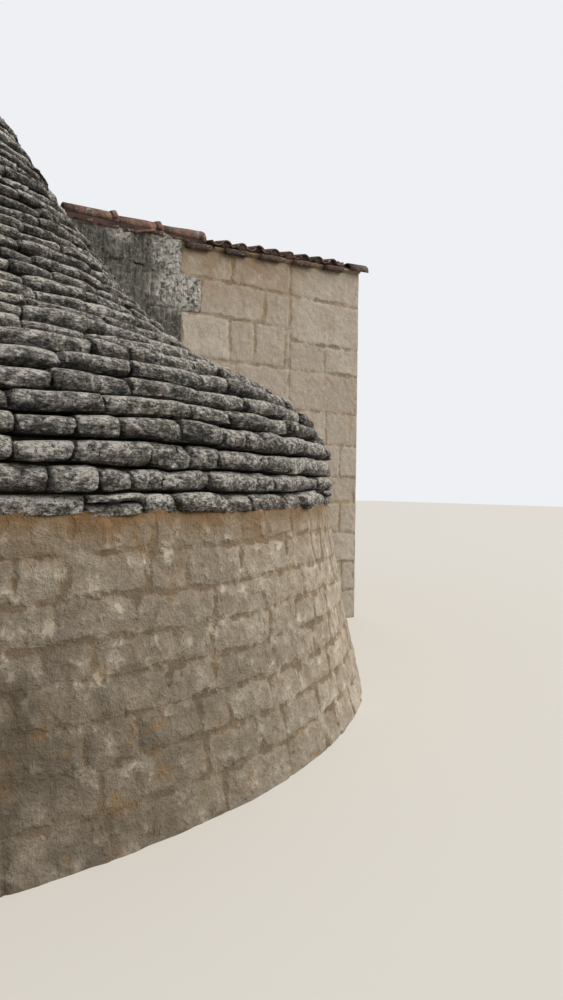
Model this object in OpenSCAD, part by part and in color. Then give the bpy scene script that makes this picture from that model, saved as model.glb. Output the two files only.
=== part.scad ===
// A round dry stone house with a conical slab roof, and the taller tiled room built against it.
// All sizes are in millimetres. Z is up, the ground is at 0, and X runs along the room's front wall.

/* [Round wall] */
// Radius of the round wall's outer face just under the eave
wall_r = 3740; // [3500:10:3900]
// How much further out the foot of the wall stands
wall_flare = 280; // [100:10:400]
// Height of the round wall above the ground
wall_h = 1450; // [1300:10:1600]
// Radius of the round room
room_r = 2400; // [2200:10:2600]

/* [Cone roof] */
// How far the lowest course of roof slabs stands out of the wall
eave_out = 30; // [20:5:80]
// Height of the upright part of the roof's rim
rim_h = 300; // [200:10:400]
// Height of the rounded shoulder above the rim
shoulder_h = 550; // [450:10:650]
// How far the shoulder draws in
shoulder_in = 400; // [300:10:500]
// Height at which the sides of the upper cone would meet
apex_z = 6100; // [5800:10:6400]
// Run of the upper cone for each unit of rise
cone_run = 0.69; // [0.65:0.01:0.73]
// Height over which the bell shaped skirt fades into the cone
flare_h = 350; // [300:10:400]
// Thickness of a slab course at the eave
slab_low = 120; // [100:5:140]
// Thickness of a slab course at the top
slab_high = 80; // [70:5:100]
// Depth of the slabs into the roof
slab_in = 300; // [250:10:350]
// Rise from the top of the vault to the apex of the cone
crown_h = 1100; // [1000:10:1200]
// Radius of the stone that closes the vault
crown_r = 200; // [150:5:230]
// Drop from the apex to the bed of the cap stone
cap_drop = 400; // [350:10:500]
// Thickness of the cap stone
cap_t = 90; // [60:5:120]
// How far the cap stone laps over the top course
cap_lap = 45; // [20:5:80]
// Radius of the pinnacle's foot
pinnacle_r = 205; // [180:5:230]
// Radius of the pinnacle's neck under its ball
neck_r = 100; // [80:5:120]
// Radius of the ball on the pinnacle
ball_r = 170; // [130:5:220]
// Height of the pinnacle's neck
neck_h = 300; // [200:10:400]

/* [Tall room] */
// Gap between the cone and the room's left end, at the top of the front wall
room_gap = 40; // [30:2:200]
// Place of the room's right end
room_right = 5110; // [4900:10:5400]
// Place of the room's front face
room_front = -175; // [-250:5:-100]
// Depth of the room from front to back
room_depth = 4150; // [3900:25:4190]
// Thickness of the room's walls
room_wall = 500; // [400:10:550]
// Height of the front wall at its face, at its left end
room_h = 4005; // [3950:5:4300]
// Where the old wall ends and the rebuilt wall starts
old_wall_end = 2690; // [2500:10:2900]
// Pitch of the tiled roof
pitch = 12; // [8:1:15]
// Rise of the tiled roof towards its right end, in degrees
roof_rise = 3.3; // [0:0.1:4]

/* [Doorways] */
// Width of the doorway in the side wall
door_w = 900; // [800:10:1000]
// Height of the doorway in the side wall
door_h = 2000; // [1900:10:2100]
// Height of the lintel over a doorway
lintel_h = 240; // [180:10:300]
// Length of lintel that bears on the wall at each end
lintel_bearing = 200; // [150:10:250]
// Height of the door sill
sill_h = 60; // [40:5:80]
// How far the door sill stands out
sill_out = 40; // [20:5:60]
// Middle of the passage between the two rooms, measured from the middle of the round house
passage_y = 1200; // [1100:10:1300]
// Width of the passage between the two rooms
passage_w = 900; // [800:10:950]
// Height of the passage
passage_h = 1800; // [1700:10:1900]
// Height of the stone over the passage
passage_lintel_h = 180; // [120:10:220]

/* [Roof tiles] */
// Thickness of the roof deck
deck_t = 38; // [38:1:60]
// Distance between rows of tiles
tile_pitch = 210; // [200:5:220]
// Thickness of a clay tile
tile_t = 14; // [12:1:16]
// Outer radius of a cover tile
cover_r = 84; // [80:1:88]
// Height of a cover tile
cover_depth = 58; // [54:1:62]
// Outer radius of a pan tile
pan_r = 95; // [90:1:98]
// Depth of a pan tile
pan_depth = 48; // [44:1:50]
// Mortar under the pan tiles
bed_t = 5; // [4:1:12]
// Height of the mortar between the pan tiles
bed_h = 24; // [22:1:28]
// How far the tiles hang over the front wall
tile_out = 50; // [30:5:120]
// Thickness of the flat tiles bedded along the eave
eave_tile_t = 29; // [26:1:31]
// Height of those tiles over the underside of the deck
eave_tile_lift = 3; // [3:1:6]
// Length of an eave tile
eave_tile_l = 290; // [270:5:340]
// Width of an eave tile, from its front to its back
eave_tile_w = 150; // [120:5:180]
// Distance from one tile to the next along the eave
eave_tile_step = 454; // [440:1:480]
// How far the eave tiles stand out of the wall
eave_tile_out = 70; // [50:5:90]
// Distance from the right corner to the end of the last eave tile in the row
eave_tile_in = 270; // [200:5:300]
// Outer radius of the round tile laid over the corner
corner_tile_r = 90; // [80:1:95]
// Height of the corner tile over the underside of the deck
corner_tile_lift = 30; // [26:1:35]
// Length of the corner tile
corner_tile_l = 280; // [260:5:310]
// How far the corner tile stands out past the corner
corner_tile_out = 120; // [100:5:150]
// Height of the mortar under the tiles laid along the front edge, at its left end
edge_bed_left = 106; // [80:1:110]
// Height of that mortar at its right end
edge_bed_right = 45; // [35:1:55]
// Outer radius of the tiles laid along the edges
edge_tile_r = 95; // [85:1:105]
// About how far it is from one tile laid along an edge to the next
edge_tile_step = 480; // [440:10:540]
// Lap of one edge tile over the next
edge_tile_lap = 50; // [30:5:70]
// Play between lapped edge tiles
edge_tile_play = 2; // [1:0.5:4]
// Where the tiles laid along the front edge end
edge_tiles_end = 2990; // [2900:10:3100]

/* [Hidden] */
$fn = 96;
round_fn = 360;

// Colours as they show on the real building
limestone = "#cdbb9c";
pale_limestone = "#d8ccb2";
old_limestone = "#7d7768";
grey_slab = "#8b8b86";
mortar = "#c9bea9";
clay = "#9a6549";
dark_clay = "#5d4540";

// The round house is drawn about its own axis. The origin is the middle of the whole footprint.
base_r = wall_r + wall_flare;
room_back = room_front + room_depth;
left_x = -base_r;
right_x = room_right + corner_tile_out;
centre = [-(left_x + right_x) / 2, 0, 0];

// The wall leans in as a curve that is steepest at the foot
wall_steps = 6;
flare_power = 1.3;
function wall_out(z) = wall_r + wall_flare * pow(1 - z / wall_h, flare_power);

// The outline of the roof: an upright rim, a round shoulder, and a bell that fades into a cone
rim_r = wall_r + eave_out;
rim_z = wall_h + rim_h;
shoulder_z = rim_z + shoulder_h;
shoulder_r = rim_r - shoulder_in;
bell = shoulder_r - (apex_z - shoulder_z) * cone_run;
function rim_out(z) = rim_r - shoulder_in * pow(max(0, z - rim_z) / shoulder_h, 2);
function cone_out(z) = (apex_z - z) * cone_run + bell * exp(-(z - shoulder_z) / flare_h);
function roof_out(z) = z < shoulder_z ? rim_out(z) : cone_out(z);
room_left = roof_out(room_h) + room_gap;
function bed_out(z) = max(crown_r, roof_out(z) - slab_in);

// Slab courses grow thinner towards the top
cap_z = apex_z - cap_drop;
function slab_t(z) = slab_low + (slab_high - slab_low) * (z - wall_h) / (cap_z - wall_h);
function courses(z) = z + 1.5 * slab_t(z) > cap_z ? [z, cap_z] : concat([z], courses(z + slab_t(z)));
levels = courses(wall_h);
function tread(i) = roof_out((levels[i] + levels[i + 1]) / 2);

// Points on the bed between slabs and vault, and on the inside of the vault
bed_steps = 16;
bed_top = apex_z - (slab_in + crown_r) / cone_run;
bed_levels = [for (i = [0 : bed_steps]) wall_h + (bed_top - wall_h) * i / bed_steps];
vault_top = apex_z - crown_h;
vault_power = 0.9;
function vault_in(z) = room_r * pow(max(0, 1 - (z - wall_h) / (vault_top - wall_h)), vault_power);
close_z = vault_top - (vault_top - wall_h) * pow(crown_r / room_r, 1 / vault_power);
vault_steps = 8;
vault_levels = [for (i = [0 : vault_steps]) wall_h + (close_z - wall_h) * i / vault_steps];

// The room's inner faces, its doorway and the passage into the round house
inner_front = room_front + room_wall;
inner_back = room_back - room_wall;
inner_right = room_right - room_wall;
door_front = (inner_front + inner_back - door_w) / 2;
door_back = door_front + door_w;
passage_front = passage_y - passage_w / 2;
passage_back = passage_front + passage_w;

// The tiled roof is drawn flat, with its lower front edge at the origin, and then tilted
slope_l = room_depth / cos(pitch);
room_w = room_right - room_left;
tile_rows = floor(room_w / tile_pitch);
first_cover = (room_w - tile_rows * tile_pitch) / 2;
pan_z = deck_t + bed_t + pan_r;
cover_foot = tile_pitch / 2 - sqrt(pow(cover_r - tile_t, 2) - pow(cover_r - cover_depth, 2));
cover_z = pan_z - sqrt(pow(pan_r - tile_t, 2) - pow(cover_foot, 2));
edge_row = 2 * edge_tile_r;
front_edge_end = edge_tiles_end - room_left;
edge_fall = atan((edge_bed_left - edge_bed_right) / front_edge_end);
last_eave = room_w - eave_tile_in - eave_tile_l;
eave_tiles_n = floor((last_eave + eave_tile_l - front_edge_end) / eave_tile_step) + 1;
corner_start = room_w + corner_tile_out - corner_tile_l;
corner_back = 2 * corner_tile_r - eave_tile_out;
over = 1;
far = 20000;

module place() {
    translate(centre) children();
}

// A slice of a solid of revolution, from one angle to another
module slice(from, to) {
    rotate([0, 0, from]) rotate_extrude(angle = to - from, $fn = round_fn) children();
}

module wall_outline() {
    polygon(concat(
        [[room_r, wall_h], [room_r, 0]],
        [for (i = [0 : wall_steps]) [wall_out(wall_h * i / wall_steps), wall_h * i / wall_steps]]
    ));
}

module slab_outline() {
    polygon(concat(
        [for (i = [0 : len(levels) - 2], k = [0, 1]) [tread(i), levels[i + k]]],
        [[crown_r, cap_z]],
        [for (i = [bed_steps : -1 : 0]) [bed_out(bed_levels[i]), bed_levels[i]]]
    ));
}

module vault_outline() {
    polygon(concat(
        [for (z = bed_levels) [bed_out(z), z]],
        [for (i = [vault_steps : -1 : 0]) [max(crown_r, vault_in(vault_levels[i])), vault_levels[i]]]
    ));
}

// The whole outside of the round house, filled, for the room's walls to be fitted against
module trullo_outline() {
    polygon(concat(
        [[0, 0]],
        [for (i = [0 : wall_steps]) [wall_out(wall_h * i / wall_steps), wall_h * i / wall_steps]],
        [for (i = [0 : len(levels) - 2], k = [0, 1]) [tread(i), levels[i + k]]],
        [[0, cap_z]]
    ));
}

module trullo_envelope() {
    rotate_extrude($fn = round_fn) trullo_outline();
}

module passage_way() {
    translate([0, passage_front, -1]) cube([room_right, passage_w, passage_h + 1]);
}

module passage_lintel_box() {
    translate([0, passage_front - lintel_bearing, passage_h])
        cube([room_right, passage_w + 2 * lintel_bearing, passage_lintel_h]);
}

module drum_wall(from, to) {
    color(limestone) slice(from, to) wall_outline();
}

module vault(from, to) {
    color(limestone) slice(from, to) vault_outline();
}

module roof_slabs(from, to) {
    color(grey_slab) slice(from, to) slab_outline();
}

module drum_wall_beside_passage(y, depth) {
    color(limestone) intersection() {
        slice(0, 90) wall_outline();
        translate([0, y, 0]) cube([base_r, depth, wall_h]);
    }
}

module passage_cut() {
    difference() {
        children();
        passage_way();
        passage_lintel_box();
    }
}

module passage_lintel() {
    color(pale_limestone) intersection() {
        passage_lintel_box();
        union() {
            slice(0, 90) slab_outline();
            slice(0, 90) vault_outline();
        }
    }
}

module crown_stone() {
    color(limestone) translate([0, 0, close_z]) cylinder(r = crown_r, h = cap_z - close_z);
}

module cap_stone() {
    color(grey_slab) translate([0, 0, cap_z]) cylinder(r = roof_out(cap_z) + cap_lap, h = cap_t);
}

module pinnacle() {
    z0 = cap_z + cap_t;
    color(pale_limestone) {
        translate([0, 0, z0]) cylinder(r1 = pinnacle_r, r2 = neck_r, h = neck_h);
        intersection() {
            translate([0, 0, z0 + neck_h + sqrt(pow(ball_r, 2) - pow(neck_r, 2))]) sphere(r = ball_r);
            translate([0, 0, z0 + neck_h]) cylinder(r = ball_r + over, h = 2 * ball_r);
        }
    }
}

// The space under the tilted roof deck, to which the walls of the tall room rise
module under_roof() {
    tilted() translate([-far / 2, -far / 2, -far]) cube([far, far, far]);
}

module room_piece(x0, x1, y0, y1) {
    difference() {
        intersection() {
            translate([x0, y0, 0]) cube([x1 - x0, y1 - y0, 2 * room_h]);
            under_roof();
        }
        trullo_envelope();
    }
}

module door_lintel_box() {
    translate([inner_right, door_front - lintel_bearing, door_h])
        cube([room_wall, door_w + 2 * lintel_bearing, lintel_h]);
}

module front_wall_old() {
    color(old_limestone) room_piece(room_left, old_wall_end, room_front, inner_front);
}

module front_wall_rebuilt() {
    color(pale_limestone) room_piece(old_wall_end, room_right, room_front, inner_front);
}

module side_wall_front() {
    color(pale_limestone) difference() {
        room_piece(inner_right, room_right, inner_front, door_front);
        door_lintel_box();
    }
}

module side_wall_back() {
    color(pale_limestone) difference() {
        room_piece(inner_right, room_right, door_back, inner_back);
        door_lintel_box();
    }
}

module side_wall_over_door() {
    color(pale_limestone) intersection() {
        room_piece(inner_right, room_right, door_front, door_back);
        translate([0, 0, door_h + lintel_h]) cube([far, far, far]);
    }
}

module door_lintel() {
    color(pale_limestone) door_lintel_box();
}

module door_sill() {
    color(pale_limestone) translate([inner_right, door_front, 0])
        cube([room_wall + sill_out, door_w, sill_h]);
}

// The back wall is bonded with the foot of the left wall, which stands on the ground beside the round house
module back_wall() {
    color(limestone) union() {
        room_piece(room_left, room_right, inner_back, room_back);
        intersection() {
            room_piece(room_left, room_left + room_wall, inner_front, inner_back);
            cube([far, far, wall_h]);
        }
    }
}

// Above the eave the left wall rides on the roof of the round house
module left_wall() {
    color(old_limestone) intersection() {
        room_piece(room_left, room_left + room_wall, inner_front, inner_back);
        translate([0, 0, wall_h]) cube([far, far, far]);
    }
}

module tilted() {
    translate([room_left, room_front, room_h]) rotate([pitch, -roof_rise, 0]) children();
}

// Carries a cross section up the slope, from one distance to another
module up_slope(from, to) {
    translate([0, to, 0]) rotate([90, 0, 0]) linear_extrude(to - from) children();
}

// Carries a cross section along the room, from one distance to another
module along_room(from, to) {
    translate([from, 0, 0]) rotate([90, 0, 90]) linear_extrude(to - from) children();
}

// The section of a pan tile, which holds water. Turned over, it is that of a cover tile.
module dish(r, depth) {
    intersection() {
        difference() {
            translate([0, r]) circle(r);
            translate([0, r]) circle(r - tile_t);
        }
        translate([-r, 0]) square([2 * r, depth]);
    }
}

// The section of a half round tile
module arch(r) {
    intersection() {
        difference() {
            circle(r);
            circle(r - tile_t);
        }
        translate([-r, 0]) square([2 * r, r]);
    }
}

module eave_tile_row() {
    for (i = [0 : eave_tiles_n - 1])
        translate([last_eave - i * eave_tile_step, -eave_tile_out, eave_tile_lift])
            cube([eave_tile_l, eave_tile_w, eave_tile_t]);
}

// A half round tile that lies along the eave and sticks out past the corner
module corner_tile_half() {
    translate([0, corner_back - corner_tile_r, corner_tile_lift])
        along_room(corner_start, corner_start + corner_tile_l) arch(corner_tile_r);
}

module roof_deck() {
    color(mortar) tilted() difference() {
        cube([room_w, slope_l, deck_t]);
        eave_tile_row();
        corner_tile_half();
    }
}

module eave_tiles() {
    color(dark_clay) tilted() eave_tile_row();
}

module corner_tile() {
    color(dark_clay) tilted() corner_tile_half();
}

// Rows of roof tiles hang over the wall, or else start behind the tiles along the front edge and the corner
function row_start(x, r) = x < front_edge_end ? edge_row : x + r > corner_start ? corner_back : -tile_out;
function pan_x(i) = first_cover + (i + 0.5) * tile_pitch;

// The mortar under the tiles along the front edge, seen from the front, makes up for the rise of the roof
module edge_bed_outline() {
    polygon([[0, 0], [front_edge_end, 0], [front_edge_end, edge_bed_right], [0, edge_bed_left]]);
}

module tile_bed() {
    color(mortar) tilted() difference() {
        union() {
            translate([0, 0, deck_t]) up_slope(0, edge_row) edge_bed_outline();
            translate([0, edge_row, deck_t]) cube([room_w, slope_l - 2 * edge_row, bed_h]);
            translate([front_edge_end, 0, deck_t])
                cube([room_w - front_edge_end, slope_l - edge_row, bed_h]);
        }
        for (i = [0 : tile_rows - 1]) translate([pan_x(i), 0, pan_z])
            up_slope(row_start(pan_x(i), pan_r), slope_l) circle(pan_r);
        corner_tile_half();
    }
}

module pan_tiles() {
    color(clay) tilted() for (i = [0 : tile_rows - 1])
        translate([pan_x(i), 0, deck_t + bed_t]) up_slope(row_start(pan_x(i), pan_r), slope_l - edge_row)
            dish(pan_r, pan_depth);
}

module cover_tiles() {
    color(clay) tilted() for (i = [0 : tile_rows]) {
        x = first_cover + i * tile_pitch;
        translate([x, 0, cover_z]) up_slope(row_start(x, cover_r), slope_l - edge_row)
            translate([0, cover_depth]) mirror([0, 1]) dish(cover_r, cover_depth);
    }
}

// One tapered half round tile, lying along X with its wide end over the narrow end of the next
module edge_tile(length) {
    narrow_r = edge_tile_r - tile_t - edge_tile_play;
    intersection() {
        rotate([0, 90, 0]) difference() {
            cylinder(r1 = narrow_r, r2 = edge_tile_r, h = length);
            translate([0, 0, -over])
                cylinder(r1 = narrow_r - tile_t, r2 = edge_tile_r - tile_t, h = length + 2 * over);
        }
        translate([0, -edge_tile_r, 0]) cube([length, 2 * edge_tile_r, edge_tile_r]);
    }
}

module edge_tile_line(length) {
    n = round((length - edge_tile_lap) / edge_tile_step);
    step = (length - edge_tile_lap) / n;
    for (i = [0 : n - 1]) translate([i * step, 0, 0]) edge_tile(step + edge_tile_lap);
}

module front_edge_tiles() {
    color(clay) tilted() translate([0, edge_tile_r, deck_t + edge_bed_left]) rotate([0, edge_fall, 0])
        edge_tile_line(front_edge_end);
}

module top_edge_tiles() {
    color(clay) tilted() translate([0, slope_l - edge_tile_r, deck_t]) edge_tile_line(room_w);
}

place() drum_wall_beside_passage(0, passage_front);  // drum_wall_passage_front
place() drum_wall_beside_passage(passage_back, base_r);  // drum_wall_passage_back
place() drum_wall(90, 135);  // drum_wall_back_left
place() drum_wall(135, 180);  // drum_wall_left_back
place() drum_wall(180, 225);  // drum_wall_left_front
place() drum_wall(225, 270);  // drum_wall_front_left
place() drum_wall(270, 315);  // drum_wall_front_right
place() drum_wall(315, 360);  // drum_wall_right_front
place() passage_cut() vault(0, 90);  // vault_back_right
place() vault(90, 180);  // vault_back_left
place() vault(180, 270);  // vault_front_left
place() vault(270, 360);  // vault_front_right
place() passage_cut() roof_slabs(0, 45);  // roof_slabs_right_back
place() roof_slabs(45, 90);  // roof_slabs_back_right
place() roof_slabs(90, 135);  // roof_slabs_back_left
place() roof_slabs(135, 180);  // roof_slabs_left_back
place() roof_slabs(180, 225);  // roof_slabs_left_front
place() roof_slabs(225, 270);  // roof_slabs_front_left
place() roof_slabs(270, 315);  // roof_slabs_front_right
place() roof_slabs(315, 360);  // roof_slabs_right_front
place() passage_lintel();
place() crown_stone();
place() cap_stone();
place() pinnacle();
place() front_wall_old();
place() front_wall_rebuilt();
place() side_wall_front();
place() side_wall_back();
place() side_wall_over_door();
place() door_lintel();
place() door_sill();
place() back_wall();
place() left_wall();
place() roof_deck();
place() tile_bed();
place() pan_tiles();
place() cover_tiles();
place() eave_tiles();
place() corner_tile();
place() front_edge_tiles();
place() top_edge_tiles();
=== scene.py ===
# %% [markdown]
# # A round dry stone house with a slab roof and a tiled room
# The imported model holds the masonry at its real size. This lesson lays the stones over it:
# separate roof slabs, rough blocks in smeared mortar, squared blocks, and old clay tiles.
# First the model is loaded as a fixed frame.

# %% Load the imported model
import math

import bmesh
import bpy
import numpy as np
from mathutils import Matrix, Vector


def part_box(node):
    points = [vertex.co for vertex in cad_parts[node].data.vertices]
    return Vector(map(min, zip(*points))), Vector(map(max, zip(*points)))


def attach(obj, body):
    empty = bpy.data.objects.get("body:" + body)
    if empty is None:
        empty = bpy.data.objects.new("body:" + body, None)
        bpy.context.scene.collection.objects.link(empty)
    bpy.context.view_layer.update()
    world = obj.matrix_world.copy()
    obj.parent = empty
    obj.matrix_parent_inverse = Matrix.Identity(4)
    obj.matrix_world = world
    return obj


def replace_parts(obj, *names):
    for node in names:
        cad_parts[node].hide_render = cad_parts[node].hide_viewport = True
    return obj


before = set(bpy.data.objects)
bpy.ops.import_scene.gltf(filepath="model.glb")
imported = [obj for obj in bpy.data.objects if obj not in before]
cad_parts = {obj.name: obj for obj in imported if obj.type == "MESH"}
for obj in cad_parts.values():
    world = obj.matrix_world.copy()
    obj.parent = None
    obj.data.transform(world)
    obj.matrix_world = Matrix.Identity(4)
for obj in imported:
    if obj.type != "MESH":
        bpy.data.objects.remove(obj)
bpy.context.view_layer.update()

# %% [markdown]
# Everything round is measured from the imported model, so that each stone seats on it. Numbers typed in by
# hand would be wrong as soon as the model changes. The round house stands about the axis of the stone that
# closes its vault. A profile is read as rings: the distance of each point from that axis, and its height.

# %% Measure the round house
def corners(node):
    """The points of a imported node, as rows of x, y, z."""
    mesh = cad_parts[node].data
    points = np.zeros(len(mesh.vertices) * 3)
    mesh.vertices.foreach_get("co", points)
    return points.reshape(-1, 3)


crown_low, crown_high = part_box("crown_stone")
AXIS = np.array([(crown_low.x + crown_high.x) / 2, (crown_low.y + crown_high.y) / 2])


def rings(node):
    """Distance from the axis and height of each point of a node, to the nearest tenth of a millimetre."""
    points = corners(node)
    reach = np.hypot(points[:, 0] - AXIS[0], points[:, 1] - AXIS[1])
    return np.round(reach, 4), np.round(points[:, 2], 4)


wall_reach, wall_z = rings("drum_wall_front_right")
wall_heights = np.unique(wall_z)
wall_radii = np.array([wall_reach[wall_z == z].max() for z in wall_heights])
WALL_TOP = float(wall_heights[-1])
print("round wall", wall_radii.round(3), "at", wall_heights.round(2))

# %% [markdown]
# The roof's outline is stepped, one step to a course of slabs. In its upright rim the steps vanish, so
# a tall step there is shared out into courses about as thick as a slab.

# %% Measure the roof courses
slab_reach, slab_z = rings("roof_slabs_front_right")
levels = [z for z in np.unique(slab_z) if np.ptp(slab_reach[np.abs(slab_z - z) < 1e-4]) > 0.01]
SLAB_T = 0.12
SAME = 4e-4


def nose_radius(low, high):
    """The radius that both edges of a course's upright face share."""
    below = slab_reach[np.abs(slab_z - low) < 1e-4]
    above = slab_reach[np.abs(slab_z - high) < 1e-4]
    shared = [r for r in below if np.min(np.abs(above - r)) < SAME]
    return max(shared) if shared else below.max()


courses = []
for low, high in zip(levels[:-1], levels[1:]):
    split = np.linspace(low, high, max(1, round((high - low) / SLAB_T)) + 1)
    courses += [(a, b, nose_radius(low, high)) for a, b in zip(split[:-1], split[1:])]
course_bottom, course_top, course_radius = np.array(courses).T
print(len(course_radius), "courses, from", course_radius[0].round(3), "to", course_radius[-1].round(3), "m")

# %% [markdown]
# Stone is never smooth. A lattice of random values, blended with a smooth step, gives gentle lumps at
# any size. It is worked out for whole arrays of points at once, and a seed makes it the same each run. A
# displacement in Blender would be shorter to write, but it treats all sides of a stone alike, and only the
# side of a slab that shows is rough.

# %% Lumps
def lumps(points, size, seed):
    """Noise from -1 to 1: each corner of a lattice of the given size holds a hashed value, and a point
    blends the eight corners round it with weights that follow 3t^2 - 2t^3. The hash multiplies the
    corner's whole numbers by large odd ones and keeps 16 bits of what comes out."""
    q = points / size + 1000.0 + 13.7 * seed
    base = np.floor(q).astype(np.int64)
    t = q - base
    t = t * t * (3.0 - 2.0 * t)
    total = np.zeros(points.shape[:-1])
    for corner in np.ndindex(2, 2, 2):
        c = base + np.array(corner)
        h = c[..., 0] * 73856093 ^ c[..., 1] * 19349663 ^ c[..., 2] * 83492791 ^ seed * 2654435761
        h = (h ^ (h >> 15)) * 2246822519 & 0xFFFFFFFF
        h = (h ^ (h >> 13)) * 3266489917 & 0xFFFFFFFF
        value = ((h >> 8) & 0xFFFF) / 32767.5 - 1.0
        weight = np.prod(np.where(np.array(corner) == 1, t, 1.0 - t), axis=-1)
        total += value * weight
    return total


def rng(seed):
    """A seeded source of random numbers."""
    return np.random.default_rng(seed)


trial = lumps(rng(0).uniform(0, 1, (1000, 3)), 0.1, 0)
print("lumps run from", trial.min().round(2), "to", trial.max().round(2))

# %% [markdown]
# Slabs and tiles are bars: a closed loop of points carried through a row of stations, with both ends
# closed like a ladder. They could be linked copies of one block, but then each stone would look like its
# neighbour. As arrays of bars they share one pattern of faces, and every stone has a shape of its own.

# %% Bars
def bar_faces(stations, loop):
    """Four sided faces of one bar: loop points join from station to station, and each end is closed by
    rungs between point k and its mirror point."""
    j, k = np.meshgrid(np.arange(stations - 1), np.arange(loop), indexing="ij")
    after = (k + 1) % loop
    sides = np.stack([j * loop + k, (j + 1) * loop + k, (j + 1) * loop + after, j * loop + after], axis=-1)
    rung = np.arange(loop // 2 - 1)
    near = np.stack([rung, rung + 1, loop - 2 - rung, loop - 1 - rung], axis=-1)
    far = near[:, ::-1] + (stations - 1) * loop
    return np.concatenate([sides.reshape(-1, 4), near, far])


def make_piece(name, points, quads, material, marks=None, ends=()):
    """A mesh from points, four sided faces and longer end rings, turned outwards, with float marks."""
    mesh = bpy.data.meshes.new(name)
    mesh.from_pydata(points.reshape(-1, 3).tolist(), [], quads.tolist() + [ring.tolist() for ring in ends])
    shape = bmesh.new()
    shape.from_mesh(mesh)
    inside_out = shape.calc_volume(signed=True) < 0
    shape.free()
    if inside_out:
        mesh.flip_normals()
    mesh.shade_smooth()
    for key, values in (marks or {}).items():
        kept = mesh.attributes.new(key, "FLOAT", "POINT")
        kept.data.foreach_set("value", values.astype(np.float32).ravel())
    mesh.materials.append(material)
    piece = bpy.data.objects.new(name, mesh)
    bpy.context.scene.collection.objects.link(piece)
    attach(piece, "root")
    return piece


def many_bars(name, bars, material, marks=None):
    """One piece from an array of bars, with axes bar, station, loop point, and x, y, z."""
    count, stations, loop = bars.shape[:3]
    faces = bar_faces(stations, loop)
    faces = (faces[None] + np.arange(count)[:, None, None] * stations * loop).reshape(-1, 4)
    marks = {key: np.broadcast_to(v, bars.shape[:3]) for key, v in (marks or {}).items()}
    return make_piece(name, bars, faces, material, marks)


print("a bar of 8 stations by 8 points has", len(bar_faces(8, 8)), "faces")

# %% [markdown]
# Colours are given as they look on a screen, and one function turns them to the linear values that
# Blender mixes. One helper adds a shader node with its settings and links, and gives back its output.
# A finish is then built up as a mason would see it: a base colour, and layers over it, each through a
# mask of noise with spots of a real size, or through a mark that the mesh keeps for each point.

# %% Colours and nodes
def paint(code):
    """Linear red, green, blue, alpha from an sRGB hex code."""
    parts = [int(code[i:i + 2], 16) / 255 for i in (1, 3, 5)]
    return (*[c / 12.92 if c <= 0.04045 else ((c + 0.055) / 1.055) ** 2.4 for c in parts], 1.0)


def add(tree, kind, inputs=None, out=0, **settings):
    """Adds a node with its settings, sets or links its inputs, and returns one of its outputs, if any."""
    node = tree.nodes.new(kind)
    for key, value in settings.items():
        setattr(node, key, value)
    for key, value in (inputs or {}).items():
        if isinstance(value, bpy.types.NodeSocket):
            tree.links.new(value, node.inputs[key])
        else:
            node.inputs[key].default_value = value
    return node.outputs[out] if node.outputs else None


MIX = "ShaderNodeMix"
NOISE = "ShaderNodeTexNoise"
SPREAD = "ShaderNodeMapRange"
MATHS = "ShaderNodeMath"
BLEND = {"data_type": "RGBA", "out": 2}
PLUS = {"operation": "ADD"}
MINUS = {"operation": "SUBTRACT"}
TIMES = {"operation": "MULTIPLY"}


def new_material(name):
    """An empty material with its tree and the place of each point in metres."""
    material = bpy.data.materials.new(name)
    material.use_nodes = True
    tree = material.node_tree
    tree.nodes.clear()
    return material, tree, add(tree, "ShaderNodeTexCoord", out=3)


def finish_stone(tree, colour, height, roughness, depth):
    """Joins a colour and a height to a rough dielectric surface. Depth is the relief in metres."""
    normal = add(tree, "ShaderNodeBump", {"Strength": 1.0, "Distance": depth, "Height": height})
    surface = add(tree, "ShaderNodeBsdfPrincipled",
                  {"Base Color": colour, "Roughness": roughness, "IOR": 1.5, "Normal": normal})
    add(tree, "ShaderNodeOutputMaterial", {"Surface": surface})


def patches(tree, place, size, detail, low, high, warp=0.0, most=1.0, rough=0.6):
    """A mask from 0 to most: noise whose spots are about size metres wide, cut between two levels."""
    field = add(tree, NOISE, {"Vector": place, "Scale": 1.0 / size, "Detail": detail, "Roughness": rough,
                              "Distortion": warp})
    return add(tree, SPREAD, {"Value": field, "From Min": low, "From Max": high, "To Max": most})


def mark(tree, name, most=1.0):
    """A number kept in the mesh from 0 to 1, spread from 0 to most."""
    kept = add(tree, "ShaderNodeAttribute", out=2, attribute_name=name)
    return add(tree, SPREAD, {"Value": kept, "To Max": most})


def layered(tree, colour, *layers):
    """Lays colours over a colour, each through its mask."""
    for mask, over in layers:
        colour = add(tree, MIX, {0: mask, 6: colour, 7: paint(over)}, **BLEND)
    return colour


def shaken_height(tree, place, reach):
    """The height over the ground, with noise 0.3 m wide of plus or minus reach metres added."""
    up = add(tree, "ShaderNodeSeparateXYZ", {0: place}, out=2)
    shake = add(tree, NOISE, {"Vector": place, "Scale": 3.5, "Detail": 6.0, "Roughness": 0.6})
    shake = add(tree, SPREAD, {"Value": shake, "From Min": 0.3, "From Max": 0.7,
                               "To Min": -reach, "To Max": reach})
    return add(tree, MATHS, {0: up, 1: shake}, **PLUS)


print("half bright on a screen is", round(paint("#808080")[0], 3), "of the light")
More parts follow.
